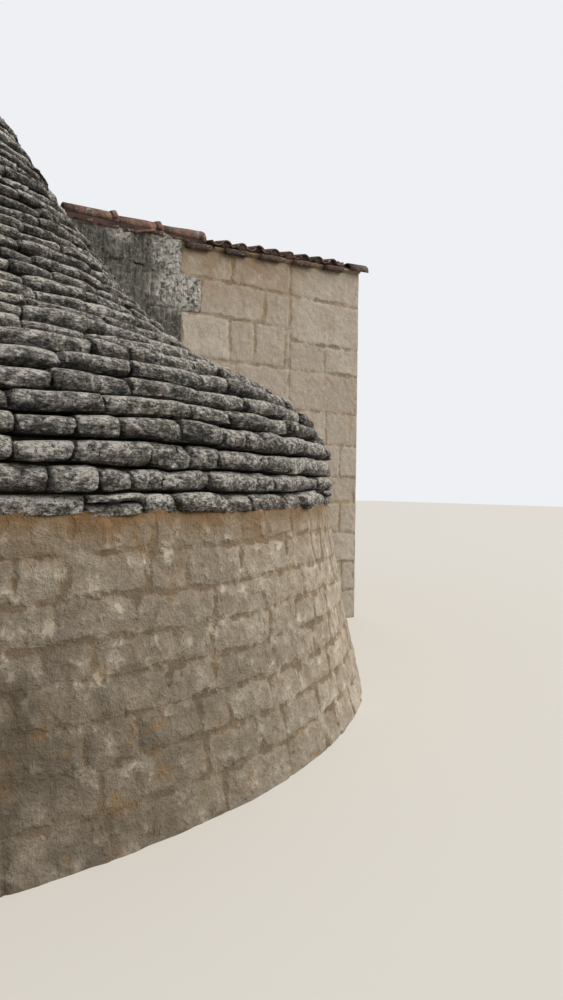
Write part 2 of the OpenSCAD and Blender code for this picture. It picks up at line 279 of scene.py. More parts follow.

# %% [markdown]
# The roof slabs are chiancarelle: thin limestone slabs split by hand and weathered to grey. Their upper
# sides are pale with lichen and pitted by rain, and are painted paler still as light from above. Their
# lower sides, which the weather does not reach, stay smoother and darker, and are painted darker still as
# shade. The weather and top light mark says which is which. There are too many slabs to paint one by
# one, so noise with spots of known sizes colours them all.

# %% Weathered slab
def weathered_slab():
    """Grey limestone under lichen, rough enough to have no shine. Broken noise 80 mm wide and bedding
    40 mm long by 18 mm thick make the relief, craggy down to a few millimetres. Relief, a grain of 24 mm,
    the slab's own tone and the mark for weathering and top light add up to how pale a place is, and four
    colours follow that. So the relief paints shade into its hollows and highlights onto its crests, and the
    mark adds painted light on the tops and painted shade, down to near black, on the undersides, over the
    lichen. Higher up the slabs are darker, and the mark tells more. Holes are 85 mm apart and painted near
    black as shade, pits 16 mm."""
    material, tree, place = new_material("weathered_limestone_slab")
    weather_and_top_light = mark(tree, "weather_and_top_light")
    flat = add(tree, "ShaderNodeMapping", {"Vector": place, "Scale": (1.0, 1.0, 2.2)})
    broken = patches(tree, place, 0.080, 9, 0.39, 0.61, 0.15, rough=0.76)
    bedding = patches(tree, flat, 0.040, 9, 0.39, 0.61, 0.25, rough=0.74)
    relief = add(tree, MIX, {0: 0.5, 2: broken, 3: bedding})
    grain = patches(tree, flat, 0.024, 4, 0.40, 0.60, 0.2, rough=0.7)
    grain = add(tree, SPREAD, {"Value": grain, "To Min": -0.19, "To Max": 0.17})
    high = add(tree, SPREAD, {"Value": shaken_height(tree, place, 0.3), "From Min": 1.7, "From Max": 3.0})
    weight = add(tree, SPREAD, {"Value": high, "To Min": 0.40, "To Max": 0.74})
    # How pale a place is: lichen, tone and grain, with painted light on the tops and crests and painted
    # shade on the undersides and in hollows.
    light = add(tree, MATHS, {0: weather_and_top_light, 1: weight}, **TIMES)
    for more in (relief, mark(tree, "tone", 0.26), grain):
        light = add(tree, MATHS, {0: light, 1: more}, **PLUS)
    darker_higher_up = add(tree, MATHS, {0: high, 1: 0.31}, **TIMES)
    light = add(tree, MATHS, {0: light, 1: darker_higher_up}, **MINUS)
    dark = add(tree, SPREAD, {"Value": light, "From Min": 0.24, "From Max": 0.63})
    middle = add(tree, SPREAD, {"Value": light, "From Min": 0.56, "From Max": 0.88})
    pale_with_painted_highlight = add(tree, SPREAD, {"Value": light, "From Min": 0.86, "From Max": 1.14})
    pits = patches(tree, place, 0.016, 5, 0.585, 0.625, 0.4, 0.9)
    holes_with_painted_shade = patches(tree, place, 0.085, 4, 0.695, 0.715, 0.3)
    ochre = patches(tree, place, 0.15, 3, 0.755, 0.785, 0.0, 0.8)
    sheltered = add(tree, MATHS, {0: 1.0, 1: weather_and_top_light}, **MINUS)
    damp = patches(tree, place, 0.12, 4, 0.54, 0.66, 0.0, 0.55)
    damp = add(tree, MATHS, {0: damp, 1: sheltered}, **TIMES)
    # The near black base is painted shadow under the slabs and in their gaps, the palest colour is pale
    # lichen with painted highlight, and the near black of the holes is painted shade.
    colour = layered(tree, paint("#181716"), (dark, "#5d5b57"), (middle, "#9b9790"), (pale_with_painted_highlight, "#ece8e0"),
                     (damp, "#6e5636"), (ochre, "#a0793c"), (pits, "#22201c"), (holes_with_painted_shade, "#181512"))
    height = add(tree, MATHS, {0: relief, 1: pits}, **MINUS)
    height = add(tree, MATHS, {0: height, 1: holes_with_painted_shade}, **MINUS)
    finish_stone(tree, colour, height, 0.92, 0.030)
    return material


SLAB = weathered_slab()
print(SLAB.name, "has", len(SLAB.node_tree.nodes), "nodes")

# %% [markdown]
# All the walls are limestone in lime mortar. A brick texture would be too regular for them, so the plan
# of the stones is worked out with the mesh. A mark on each wall face tells how far a point is from the
# joint, and a little noise added to it gives the mortar a hand wiped edge. Stone and mortar then take
# their own colours, and stains that follow the height over the ground lie over both.

# %% Mortar wiped by hand
WIPES = 9.0


def hand_wiped(tree, place, width, play):
    """A mask that is 1 on stone and 0 on mortar. Joints are about width metres wide, give or take play."""
    joint = add(tree, "ShaderNodeAttribute", out=2, attribute_name="joint")
    wipe = add(tree, NOISE, {"Vector": place, "Scale": WIPES, "Detail": 4.0})
    wipe = add(tree, SPREAD, {"Value": wipe, "From Min": 0.3, "From Max": 0.7,
                              "To Min": -play, "To Max": play})
    edge = add(tree, MATHS, {0: joint, 1: wipe}, **PLUS)
    return add(tree, SPREAD, {"Value": edge, "From Min": width / 2 - 0.005, "From Max": width / 2 + 0.006})


print("the mortar's edge wavers in spots", round(1000 / WIPES), "mm wide")

# %% [markdown]
# The round wall is of rough limestone, dressed with a pick and never sawn. Damp from the roof and growth
# at its foot have stained it, and the part left of the middle is darkened with painted shade, the growth
# with it. A painted picture would have to be redone whenever the wall changes. Here the height over the
# ground and noise put the stains where water leaves them, and the place along the wall puts the shade.

# %% Limestone of the round wall
def round_wall_stone():
    """Pinkish grey limestone in tan mortar, rough from 90 mm down to a few millimetres. A pick left
    slanting strokes 30 mm wide and 60 mm long. Damp from the roof stains the wall brown and rusty under
    the eave. Painted shade darkens the part left of the middle, less towards the back. Growth at its foot
    is darkened by the same painted shade. The relief's hollows take painted shade, and its crests painted
    highlights. The colours go on in this order: painted shade, hollows and crests, pick strokes, damp, the
    foot, then small spots."""
    material, tree, place = new_material("picked_limestone_in_lime_mortar")
    stone = hand_wiped(tree, place, 0.026, 0.017)
    rough = patches(tree, place, 0.090, 9, 0.38, 0.62, 0.12, rough=0.68)
    slanted = add(tree, "ShaderNodeMapping",
                  {"Vector": place, "Rotation": (0.5, 0.6, 0.0), "Scale": (1.0, 1.0, 0.5)})
    stroke = add(tree, MATHS, {0: patches(tree, slanted, 0.030, 5, 0.60, 0.70, 0.3), 1: 0.46}, **TIMES)
    broad = patches(tree, place, 0.22, 6, 0.40, 0.60, 0.3)
    block = layered(tree, paint("#958979"), (mark(tree, "tone"), "#b9ae9e"), (broad, "#ab9f8e"))
    lime = layered(tree, paint("#7c6b54"), (broad, "#907e65"))
    colour = add(tree, MIX, {0: stone, 6: lime, 7: block}, **BLEND)
    painted_shade_in_hollows = add(tree, SPREAD, {"Value": rough, "From Min": 0.45, "From Max": 0.0, "To Max": 0.50})
    pale_with_painted_highlight = add(tree, SPREAD, {"Value": rough, "From Min": 0.60, "From Max": 0.98, "To Max": 0.48})
    near_eave = {"Value": shaken_height(tree, place, 0.08)}
    browned = add(tree, SPREAD, near_eave | {"From Min": WALL_TOP - 0.20, "From Max": WALL_TOP,
                                             "To Max": 0.85})
    rusty = add(tree, SPREAD, near_eave | {"From Min": WALL_TOP - 0.08, "From Max": WALL_TOP + 0.05,
                                           "To Max": 0.5})
    across = {"Value": add(tree, "ShaderNodeSeparateXYZ", {0: place})}
    # Painted shade: darker left of the middle, fading towards the back.
    shaded = add(tree, SPREAD, across | {"From Min": AXIS[0] + 2.5, "From Max": AXIS[0]})
    less_painted_shade_far_back = add(tree, SPREAD, across | {"From Min": AXIS[0] - 0.5, "From Max": AXIS[0] - 3.0,
                                          "To Min": 1.0, "To Max": 0.3})
    shaded = add(tree, MATHS, {0: shaded, 1: less_painted_shade_far_back}, **TIMES)
    grime_and_painted_shade = add(tree, MATHS, {0: shaded, 1: patches(tree, place, 0.5, 6, 0.18, 0.62, 0.3, 0.6)}, **TIMES)
    foot = add(tree, SPREAD, {"Value": shaken_height(tree, place, 0.25),
                              "From Min": 1.25, "From Max": 0.60})
    foot = add(tree, MATHS, {0: foot, 1: shaded}, **TIMES)
    growth_and_painted_shade = add(tree, MATHS, {0: foot, 1: patches(tree, place, 0.20, 7, 0.24, 0.58, 0.3, 0.85)}, **TIMES)
    # The first colour is painted shade, the hollow and crest colours are painted shade and painted
    # highlight, and the colour at the foot is growth with painted shade.
    colour = layered(tree, colour, (grime_and_painted_shade, "#665b4a"), (painted_shade_in_hollows, "#786955"), (pale_with_painted_highlight, "#cbc1b1"),
                     (stroke, "#645743"), (browned, "#78603f"), (rusty, "#805b38"), (growth_and_painted_shade, "#574d3d"),
                     (patches(tree, place, 0.14, 6, 0.60, 0.68, 0.4, 0.6), "#8a6c46"),
                     (patches(tree, place, 0.12, 4, 0.72, 0.76, 0.0, 0.6), "#8a4f3a"),
                     (patches(tree, place, 0.012, 3, 0.645, 0.69, 0.0, 0.6), "#4d4132"))
    edge = add(tree, MATHS, {0: stone, 1: 0.35}, **TIMES)
    height = add(tree, MATHS, {0: rough, 1: edge}, **PLUS)
    height = add(tree, MATHS, {0: height, 1: stroke}, **MINUS)
    finish_stone(tree, colour, height, 0.95, 0.013)
    return material


ROUND = round_wall_stone()
print(ROUND.name, "has", len(ROUND.node_tree.nodes), "nodes")

# %% [markdown]
# The rebuilt front and the other straight walls are of softer, cream limestone, sawn and pecked flat. The
# mortar was smeared over its edges, so the joints are broad and pale. Blocks and mortar differ little in
# colour, so most of the look comes from broad blotches and from the joints' own relief.

# %% Squared limestone
def squared_stone():
    """Cream limestone sawn and pecked, in tan mortar wiped over its edges. It is rough at 60 mm and
    under. Damp has browned it under the eave, where the stain mark is high, and there the brown is painted
    shade as well. The relief's hollows take painted shade and its crests painted highlights. Brown
    blotches 300 mm wide and dark chips 60 mm apart lie over the rest."""
    material, tree, place = new_material("squared_limestone_in_tan_mortar")
    stone = hand_wiped(tree, place, 0.030, 0.026)
    rough = patches(tree, place, 0.060, 9, 0.36, 0.64, 0.1, rough=0.64)
    broad = patches(tree, place, 0.30, 7, 0.42, 0.58, 0.2)
    block = layered(tree, paint("#948879"), (mark(tree, "tone"), "#b2a99d"), (broad, "#a69b8e"))
    lime = layered(tree, paint("#857864"), (broad, "#998b75"))
    colour = add(tree, MIX, {0: stone, 6: lime, 7: block}, **BLEND)
    # Damp stain and painted shade under the eave, where the stain mark is high.
    damp = patches(tree, place, 0.18, 5, 0.25, 0.55)
    damp = add(tree, MATHS, {0: mark(tree, "stain", 0.8), 1: damp}, **TIMES)
    painted_shade_in_hollows = add(tree, SPREAD, {"Value": rough, "From Min": 0.40, "From Max": 0.0, "To Max": 0.30})
    pale_with_painted_highlight = add(tree, SPREAD, {"Value": rough, "From Min": 0.65, "From Max": 1.0, "To Max": 0.30})
    # The hollow and crest colours are painted shade and painted highlight.
    colour = layered(tree, colour, (painted_shade_in_hollows, "#8a7b66"), (pale_with_painted_highlight, "#c9c0b4"), (damp, "#84694a"),
                     (patches(tree, place, 0.30, 5, 0.62, 0.72, 0.5, 0.45), "#93704f"),
                     (patches(tree, place, 0.06, 5, 0.67, 0.73, 0.0, 0.6), "#5b4e3b"))
    edge = add(tree, MATHS, {0: stone, 1: 0.6}, **TIMES)
    height = add(tree, MATHS, {0: rough, 1: edge}, **PLUS)
    finish_stone(tree, colour, height, 0.95, 0.004)
    return material


SQUARED = squared_stone()
print(SQUARED.name, "has", len(SQUARED.node_tree.nodes), "nodes")

# %% [markdown]
# The old front and the left wall have stood in the weather for longer. Rain has drawn dark streaks down
# them, and pale lichen covers a part. The streaks are noise that is stretched four times in height, and a
# mark on the mesh tells where the lichen is.

# %% Old limestone
def streaked_stone():
    """Old limestone under lichen, with rain streaks 40 mm wide and 160 mm long. Where the stain mark is
    high, pale lichen covers it, broken up by dark grains 45 mm wide. Joints show as faint dark lines."""
    material, tree, place = new_material("old_streaked_limestone")
    stone = hand_wiped(tree, place, 0.010, 0.006)
    tall = add(tree, "ShaderNodeMapping", {"Vector": place, "Scale": (1.0, 1.0, 0.25)})
    streaks = patches(tree, tall, 0.040, 9, 0.42, 0.58, 0.6, rough=0.70)
    grains = patches(tree, place, 0.045, 9, 0.40, 0.54, 0.6, rough=0.78)
    specks = patches(tree, place, 0.03, 8, 0.52, 0.60, 0.2, 0.8, 0.75)
    dark = layered(tree, paint("#413f3b"), (streaks, "#78756e"), (specks, "#a09c93"))
    pale = layered(tree, paint("#45423c"), (grains, "#d4d0c8"))
    shift = patches(tree, place, 0.22, 6, 0.36, 0.64, 0.4, 0.5)
    share = add(tree, MATHS, {0: mark(tree, "stain"), 1: shift}, **PLUS)
    share = add(tree, SPREAD, {"Value": share, "From Min": 0.30, "From Max": 1.05})
    colour = add(tree, MIX, {0: share, 6: dark, 7: pale}, **BLEND)
    bare = add(tree, SPREAD, {"Value": stone, "From Min": 1.0, "From Max": 0.0, "To Max": 0.5})
    colour = layered(tree, colour, (bare, "#3f3c35"))
    height = add(tree, MATHS, {0: streaks, 1: grains}, **PLUS)
    finish_stone(tree, colour, height, 0.95, 0.014)
    return material


OLD = streaked_stone()
print(OLD.name, "has", len(OLD.node_tree.nodes), "nodes")

# %% [markdown]
# The vault, the lintels and the pinnacle show no joints, so blotches and pits are enough for them. One
# function makes both kinds, rough corbelled stone and dressed stone, from two colours and a relief.

# %% Plain limestone
def plain_stone(name, pale, dark, relief):
    """Limestone without joints: blotches 200 mm wide over pits 14 mm wide."""
    material, tree, place = new_material(name)
    broad = patches(tree, place, 0.20, 4, 0.35, 0.68, 0.3)
    pitted = patches(tree, place, 0.014, 4, 0.50, 0.68, 0.0, 0.3)
    colour = layered(tree, paint(dark), (broad, pale), (pitted, "#7d735e"))
    finish_stone(tree, colour, add(tree, MATHS, {0: broad, 1: pitted}, **MINUS), 0.95, relief)
    return material


ROUGH = plain_stone("corbelled_limestone", "#a3967c", "#857a63", 0.012)
DRESSED = plain_stone("dressed_limestone", "#b9b09c", "#a1967f", 0.004)
print(ROUGH.name, "and", DRESSED.name, "made")

# %% [markdown]
# The tiles are coppi, tapered half pipes of fired clay, shaped over a form. The clay is matt and warm, and
# each tile left the kiln in another shade. Age leaves soot and lichen on their backs.

# %% Fired clay and lime
def fired_clay(name, red, brown, soot):
    """Clay with kiln blushes 90 mm wide, spots of soot 30 mm wide and spots of lichen 40 mm wide."""
    material, tree, place = new_material(name)
    grime_and_painted_shade = patches(tree, place, 0.04, 7, 0.46, 0.60, 0.2)
    colour = layered(tree, paint(brown), (patches(tree, place, 0.09, 4, 0.35, 0.65, 0.3), red),
                     (mark(tree, "tone", 0.35), "#98745f"), (grime_and_painted_shade, soot),
                     (patches(tree, place, 0.04, 5, 0.57, 0.68, 0.0, 0.75), "#9f9586"))
    finish_stone(tree, colour, grime_and_painted_shade, 0.85, 0.003)
    return material


def lime_mortar(name, pale, dark):
    """Coarse lime mortar: sand grains drawn 6 mm wide, which is as fine as the picture shows."""
    material, tree, place = new_material(name)
    broad = patches(tree, place, 0.15, 5, 0.35, 0.65, 0.3)
    sand = patches(tree, place, 0.006, 3, 0.35, 0.65)
    colour = layered(tree, paint(dark), (broad, pale))
    finish_stone(tree, colour, add(tree, MATHS, {0: sand, 1: broad}, **PLUS), 0.95, 0.004)
    return material


MORTAR = lime_mortar("lime_mortar", "#a3947a", "#86785f")
SOOTY = lime_mortar("sooty_mortar", "#604b42", "#3d312c")
CLAY = fired_clay("red_brown_fired_clay", "#886154", "#5b433b", "#352d2a")
OLD_CLAY = fired_clay("blackened_fired_clay", "#6b4b40", "#453732", "#28231f")
# The darkest clay holds soot, and on the flat tiles of the eave it is painted shade as well.
SOOT_AND_SHADE_CLAY = fired_clay("fired_clay_with_soot_and_painted_shade", "#4d3833", "#382b28", "#241f1d")
print(len(bpy.data.materials), "materials")

# %% [markdown]
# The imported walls, vault and deck keep their shapes, and take stone or mortar as their finish.

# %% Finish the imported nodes
FINISH = {
    "drum_wall": MORTAR, "vault": ROUGH, "roof_slabs": SLAB, "crown": ROUGH, "cap": SLAB,
    "pinnacle": DRESSED, "passage_lintel": DRESSED, "door": DRESSED, "front_wall_old": MORTAR,
    "roof_deck": MORTAR, "tile_bed": SOOTY, "pan": OLD_CLAY, "cover": OLD_CLAY, "front_edge": CLAY,
    "top_edge": CLAY, "eave": SOOT_AND_SHADE_CLAY, "corner": SOOT_AND_SHADE_CLAY,
}
for name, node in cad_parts.items():
    finish = next((material for start, material in FINISH.items() if name.startswith(start)), MORTAR)
    node.data.materials.clear()
    node.data.materials.append(finish)
print(len(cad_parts), "packed nodes finished")

# %% [markdown]
# A roof slab is a thick split stone, laid flat, with only its nose in the weather. A mason fills each ring
# with stones as they come to hand. So each course is cut into random lengths that are scaled to close the
# ring, and every slab gets its own random numbers for shape and tone. An array of linked copies would be
# lighter, but the eye would find the copies.

# %% Cut the courses into slabs
SLAB_LENGTH = 0.30
SPLIT_SHARE = 0.04


def lay_slabs(seed):
    """Angles, heights, radius and random values of every slab. Each course is cut into lengths that vary
    by half, scaled to close the ring, and they are longer up the cone. Here and there two thin slabs
    stand in for a thick one."""
    draw = rng(seed)
    rows = []
    for low, high, radius in zip(course_bottom, course_top, course_radius):
        mean = min(SLAB_LENGTH * (1.0 + 0.3 * min(1.0, low - course_bottom[0])), 1.1 * radius)
        count = max(6, round(2 * math.pi * radius / mean))
        lengths = draw.uniform(0.5, 1.5, count)
        cuts = np.concatenate([[0.0], np.cumsum(lengths)]) / lengths.sum() * 2 * math.pi
        cuts = cuts + draw.uniform(0, 6.28)
        rows.append(np.column_stack([cuts[:-1], cuts[1:], np.full(count, low), np.full(count, high),
                                     np.full(count, radius)]))
    rows = np.concatenate(rows)
    rows = np.column_stack([rows, np.zeros(len(rows)), np.ones(len(rows))])
    thin = draw.uniform(0, 1, len(rows)) < SPLIT_SHARE
    lower, upper = rows[thin].copy(), rows[thin].copy()
    lower[:, 6] = upper[:, 5] = draw.uniform(0.35, 0.65, thin.sum())
    rows = np.concatenate([rows[~thin], lower, upper])
    return np.column_stack([rows, draw.uniform(-1, 1, (len(rows), 7))])


slab_rows = lay_slabs(11)
print(len(slab_rows), "slabs cut,", round(SPLIT_SHARE * 100), "in a hundred of them split in two")

# %% [markdown]
# The section of a slab is a loop of eight points: flat below, drawn in under the nose, a ridge about half
# way up, and a slope above it. Eight stations carry the section along the slab. A box with a bevel would
# be quicker, but all its edges would be alike, and on a split stone no two are.

# %% Section of a slab
# Each point of the section: how far in, how that varies, how far up, and how much weathering and painted top
# light it gets, where little means painted shade.
NOSE_IN = np.array([1.0, 0.13, 0.03, 0.0, 0.0, 0.05, 0.15, 1.0])
NOSE_VARY = np.array([0.0, -0.05, -0.02, 0.02, 0.0, 0.04, 0.09, 0.0])
NOSE_UP = np.array([0.0, 0.0, 0.08, 0.30, 0.56, 0.84, 0.98, 1.0])
WEATHER_AND_TOP_LIGHT = np.array([0.0, 0.0, 0.05, 0.25, 0.55, 0.95, 1.0, 1.0])
SLAB_STATIONS = np.array([0.0, 0.035, 0.2, 0.4, 0.6, 0.8, 0.965, 1.0])
print(len(NOSE_IN), "points in the section,", len(SLAB_STATIONS), "stations along a slab")

# %% [markdown]
# No bed of dry stone is level. Each one wavers, and the slabs over and under a bed follow it alike, so that
# they neither cross nor part.

# %% Beds that waver
BED_WAVER = 0.020


def bed_height(level, angle, seed):
    """The height of a bed, which wavers except at the foot and the head of the roof. The lumps are 0.6 m
    wide at 3 m from the axis, and the level counts 40 times, so that each bed wavers in its own way."""
    place = np.stack(np.broadcast_arrays(3.0 * np.cos(angle), 3.0 * np.sin(angle), 40.0 * level), -1)
    free = (level > course_bottom[0] + 0.001) & (level < course_top[-1] - 0.001)
    return level + BED_WAVER * free * lumps(place, 0.6, seed)


trial = bed_height(np.full(1000, 2.0), np.linspace(0, 2 * math.pi, 1000), 14)
print("a bed 2 m up wavers from", trial.min().round(3), "to", trial.max().round(3))

# %% [markdown]
# The slabs are laid on these beds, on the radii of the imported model. Each is drawn in at both ends, so
# that its corners in plan are worn too. Lumps then push each point, most at the nose.

# %% Shape the slabs
SLAB_DEPTH = 0.30
SLAB_GAP = 0.014
SEAT = 0.004
# The least gap under the next bed, and what some slabs leave more.
BED_GAP = 0.012
BED_PLAY = 0.016
# How far a slab juts out or in, tilts along its length, and slants at its ends.
JUT = 0.018
TILT = 0.008
SLANT = 0.014
# How far its ends are worn back, and its nose set back to leave room for lumps.
END_WEAR = 0.018
NOSE_BACK = 0.008
# The share of its height that a slab loses towards one end, and by which its ends are rounded.
TAPER = 0.20
END_ROUND = 0.09


def slab_bars(rows, seed):
    """Bars for the slabs: point = axis + reach outwards + height. Reach is the course's radius less the
    section's inset and the wear of the ends, |2u - 1|^14, with u from 0 to 1 along the slab. Each slab
    has its own jut, facets, tilt along its length, slant of its ends, taper towards one end and play
    under the next bed. Lumps 110 and 45 mm wide push the nose out, lumps 140 and 50 mm wide lift it, and
    chips move every point of it by itself."""
    start, end, low, high, radius, from_share, to_share = (rows[:, i, None, None] for i in range(7))
    jut, facet, tilt, lean_a, lean_b, taper, play = (rows[:, i, None, None] for i in range(7, 14))
    station = SLAB_STATIONS[None, :, None]
    inset, rise = NOSE_IN + NOSE_VARY * facet, NOSE_UP[None, None, :]
    along = 2 * station - 1
    nose = (1 - inset) ** 3
    half_gap = SLAB_GAP / 2 / radius
    lean = SLANT * (lean_a * (1 - station) + lean_b * station) * (2 * rise - 1)
    angle = start + half_gap + (end - start - 2 * half_gap) * station + lean / radius * np.abs(along) ** 3
    worn = np.abs(along) ** 14
    depth = np.minimum(SLAB_DEPTH, radius - 0.05)
    reach = radius + JUT * jut - depth * inset - END_WEAR * worn * nose - NOSE_BACK
    floor, ceiling = bed_height(low, angle, seed + 9), bed_height(high, angle, seed + 9)
    ceiling = ceiling - BED_GAP - BED_PLAY * np.clip(play, 0, 1)
    base = floor + (ceiling - floor) * from_share + SEAT
    height = (ceiling - floor) * (to_share - from_share) - SEAT * from_share
    height = height * (1 - TAPER * np.clip(taper * along, 0, 1) * nose)
    x = AXIS[0] + reach * np.cos(angle)
    y = AXIS[1] + reach * np.sin(angle)
    z = base + height * (rise - END_ROUND * worn * nose * (2 * rise - 1)) + TILT * tilt * along * nose
    points = np.stack(np.broadcast_arrays(x, y, z), -1)
    chips = rng(seed + 4).uniform(-1, 1, (2, *points.shape[:3]))
    push = 0.018 * lumps(points, 0.11, seed) + 0.010 * lumps(points, 0.045, seed + 1) + 0.007 * chips[0]
    lift = 0.010 * lumps(points, 0.14, seed + 2) + 0.004 * lumps(points, 0.05, seed + 3) + 0.004 * chips[1]
    outward = np.stack([np.cos(angle), np.sin(angle)], -1)
    points[..., :2] += outward * (push * nose)[..., None]
    points[..., 2] += lift * nose
    return points


slab_points = slab_bars(slab_rows, 5)
print(slab_points.shape[0], "bars of", slab_points.shape[1], "stations by", slab_points.shape[2], "points")

# %% [markdown]
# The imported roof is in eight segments, so the slabs become eight pieces too, and each takes the place of
# one segment. A slab belongs to the segment that its middle lies in. Slabs that would lie in the passage
# to the tall room are left out. Faces that meet at more than 34 degrees keep a sharp edge between them.

# %% Share the slabs out
PASSAGE_MARGIN = 0.15
passage_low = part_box("drum_wall_passage_front")[1].y
passage_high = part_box("drum_wall_passage_back")[0].y
lintel_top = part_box("passage_lintel")[1].z
middle = np.mod((slab_rows[:, 0] + slab_rows[:, 1]) / 2, 2 * math.pi)
slab_mid = slab_points[:, 4, 5]
beside_passage = ((slab_mid[:, 1] <= passage_low - PASSAGE_MARGIN)
                  | (slab_mid[:, 1] >= passage_high + PASSAGE_MARGIN))
in_passage = ~beside_passage & (slab_mid[:, 0] > AXIS[0]) & (slab_rows[:, 2] < lintel_top)
SEGMENTS = ["right_back", "back_right", "back_left", "left_back",
            "left_front", "front_left", "front_right", "right_front"]
for number, segment in enumerate(SEGMENTS):
    here = (np.floor(middle / (math.pi / 4)).astype(int) == number) & ~in_passage
    # The weather and top light mark paints light on the tops of the slabs and shade on their undersides.
    marks = {"tone": slab_rows[here, 9, None, None] * 0.5 + 0.5, "weather_and_top_light": WEATHER_AND_TOP_LIGHT[None, None, :]}
    piece = many_bars(f"slabs_{segment}", slab_points[here], SLAB, marks)
    piece.data.set_sharp_from_angle(angle=math.radians(34))
    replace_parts(piece, f"roof_slabs_{segment}")
    print(segment, here.sum(), "slabs")

# %% [markdown]
# A worn flat stone closes the roof, and a dressed pinnacle with a ball stands on it. Both are turned:
# rings of points about the axis, pushed in and out by lumps, with a small ring to close each end.

# %% Turn the cap stone and the pinnacle
TURNS = 48


def turned(profile, seed, wear):
    """A closed surface of revolution: (r cos a, r sin a, z) for each pair r, z of the profile, and each
    of 48 angles a, pushed outwards by lumps 160 and 60 mm wide."""
    reach, height = np.array(profile, float).T
    angle = np.linspace(0, 2 * math.pi, TURNS, endpoint=False)[:, None]
    points = np.stack(np.broadcast_arrays(reach * np.cos(angle), reach * np.sin(angle), height), -1)
    swell = 1 + wear * (lumps(points, 0.16, seed) + 0.5 * lumps(points, 0.06, seed + 1))
    points[..., :2] *= swell[..., None]
    points[..., :2] += AXIS[:2]
    i, j = np.meshgrid(np.arange(TURNS), np.arange(len(reach) - 1), indexing="ij")
    here, beside = i * len(reach) + j, (i + 1) % TURNS * len(reach) + j
    quads = np.stack([here, beside, beside + 1, here + 1], -1).reshape(-1, 4)
    ring = np.arange(TURNS) * len(reach)
    return points, quads, (ring[::-1], ring + len(reach) - 1)


cap_low, cap_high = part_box("cap_stone")
cap_r = (cap_high.x - cap_low.x) / 2
share = np.array([[0.3, 0.02], [0.9, 0.02], [0.98, 0.2], [1.0, 0.5],
                  [0.96, 0.8], [0.85, 0.97], [0.3, 0.98]])
cap_profile = np.column_stack([share[:, 0] * cap_r, cap_low.z + share[:, 1] * (cap_high.z - cap_low.z)])
points, quads, ends = turned(cap_profile, 17, 0.03)
# The cap stone takes a high weather and top light mark: weathered, and painted as lit from above.
cap_marks = {"weather_and_top_light": np.full(points.shape[:2], 0.9)}
cap = make_piece("cap_slab", points, quads, SLAB, cap_marks, ends)
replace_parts(cap, "cap_stone")
tip_reach, tip_z = rings("pinnacle")
tip_levels = np.unique(tip_z)
tip_radii = [tip_reach[tip_z == z].max() for z in tip_levels]
tip_heights = np.linspace(tip_levels[0], tip_levels[-1], 24)
tip_widths = np.maximum(np.interp(tip_heights, tip_levels, tip_radii), 0.015)
points, quads, ends = turned(np.column_stack([tip_widths, tip_heights]), 18, 0.025)
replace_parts(make_piece("dressed_pinnacle", points, quads, DRESSED, None, ends), "pinnacle")
print("cap stone", round(2 * cap_r, 2), "m wide, top of the ball", round(float(tip_levels[-1]), 3))

# %% [markdown]
# A wall face is one skin, a grid of points along the wall and up it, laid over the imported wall. A plan of
# stones says how far each point is from the nearest joint. Stones stand out of the mortar by that
# distance, and the same distance is kept in the mesh, so that the finish knows stone from mortar.
# Single blocks would need joints of exact width, but here mortar is smeared over the edges of the stones.

# %% Plan of stones
PAST_END = 0.01


def ashlar_plan(beds, cuts, s, z, seed, waver=0.006, tilt=0.06):
    """Distance from each point (s, z) to the nearest joint, and a random tone for its stone. Beds are the
    heights of the courses, cuts the joints in each. Both waver by smooth noise. The four distances join
    as (a^-4 + b^-4 + c^-4 + d^-4)^(-1/4), which rounds the corners of a stone. Upright joints lean by
    up to the tilt, and the tone is what a large multiple of a sine leaves over a whole number."""
    plan = np.stack([s, z, np.zeros_like(s)], -1)
    z_true = z + waver * lumps(plan, 0.45, seed) + 0.6 * waver * lumps(plan, 0.12, seed + 1)
    course = np.clip(np.searchsorted(beds, z_true) - 1, 0, len(beds) - 2)
    below, above = z_true - beds[course], beds[course + 1] - z_true
    before, after, tone = (np.zeros_like(s) for _ in range(3))
    for number, joints in enumerate(cuts):
        here = course == number
        lean = tilt * (z_true[here] - (beds[number] + beds[number + 1]) / 2)
        place = s[here] + waver * lumps(plan[here], 0.15, seed + 2)
        slot = np.clip(np.searchsorted(joints, place) - 1, 0, len(joints) - 2)
        lean = lean * np.sin(7.0 * slot + number)
        slot = np.clip(np.searchsorted(joints, place + lean) - 1, 0, len(joints) - 2)
        before[here] = place + lean - joints[slot]
        after[here] = joints[slot + 1] - place - lean
        tone[here] = np.mod(np.sin(12.9898 * (slot + 1) + 78.233 * (number + 1) + seed) * 43758.5453, 1.0)
    gaps = np.maximum(np.stack([below, above, before, after]), 1e-4)
    return (gaps ** -4.0).sum(axis=0) ** -0.25, tone


def cut_courses(length, courses, mean, draw, spread=0.35):
    """Joints along each course: lengths vary about the mean, and are scaled to fill the wall."""
    cuts = []
    for _ in range(courses):
        count = max(1, round(length / mean))
        lengths = draw.uniform(1 - spread, 1 + spread, count)
        inner = np.cumsum(lengths)[:-1] / lengths.sum() * length
        cuts.append(np.concatenate([[-PAST_END], inner, [length + PAST_END]]))
    return cuts


def even_beds(low, high, course, draw, spread=0.15):
    """Heights of the beds from low to high, for courses that vary about a height."""
    count = max(1, round((high - low) / course))
    heights = draw.uniform(1 - spread, 1 + spread, count)
    inner = low + np.cumsum(heights)[:-1] / heights.sum() * (high - low)
    return np.concatenate([[low - PAST_END], inner, [high + PAST_END]])


block = np.array([0.0, 0.4])
trial, _ = ashlar_plan(block, [block], np.array([0.2]), np.array([0.2]), 0)
print("the middle of a block 0.4 m square counts as", trial.round(3), "m from its joints")

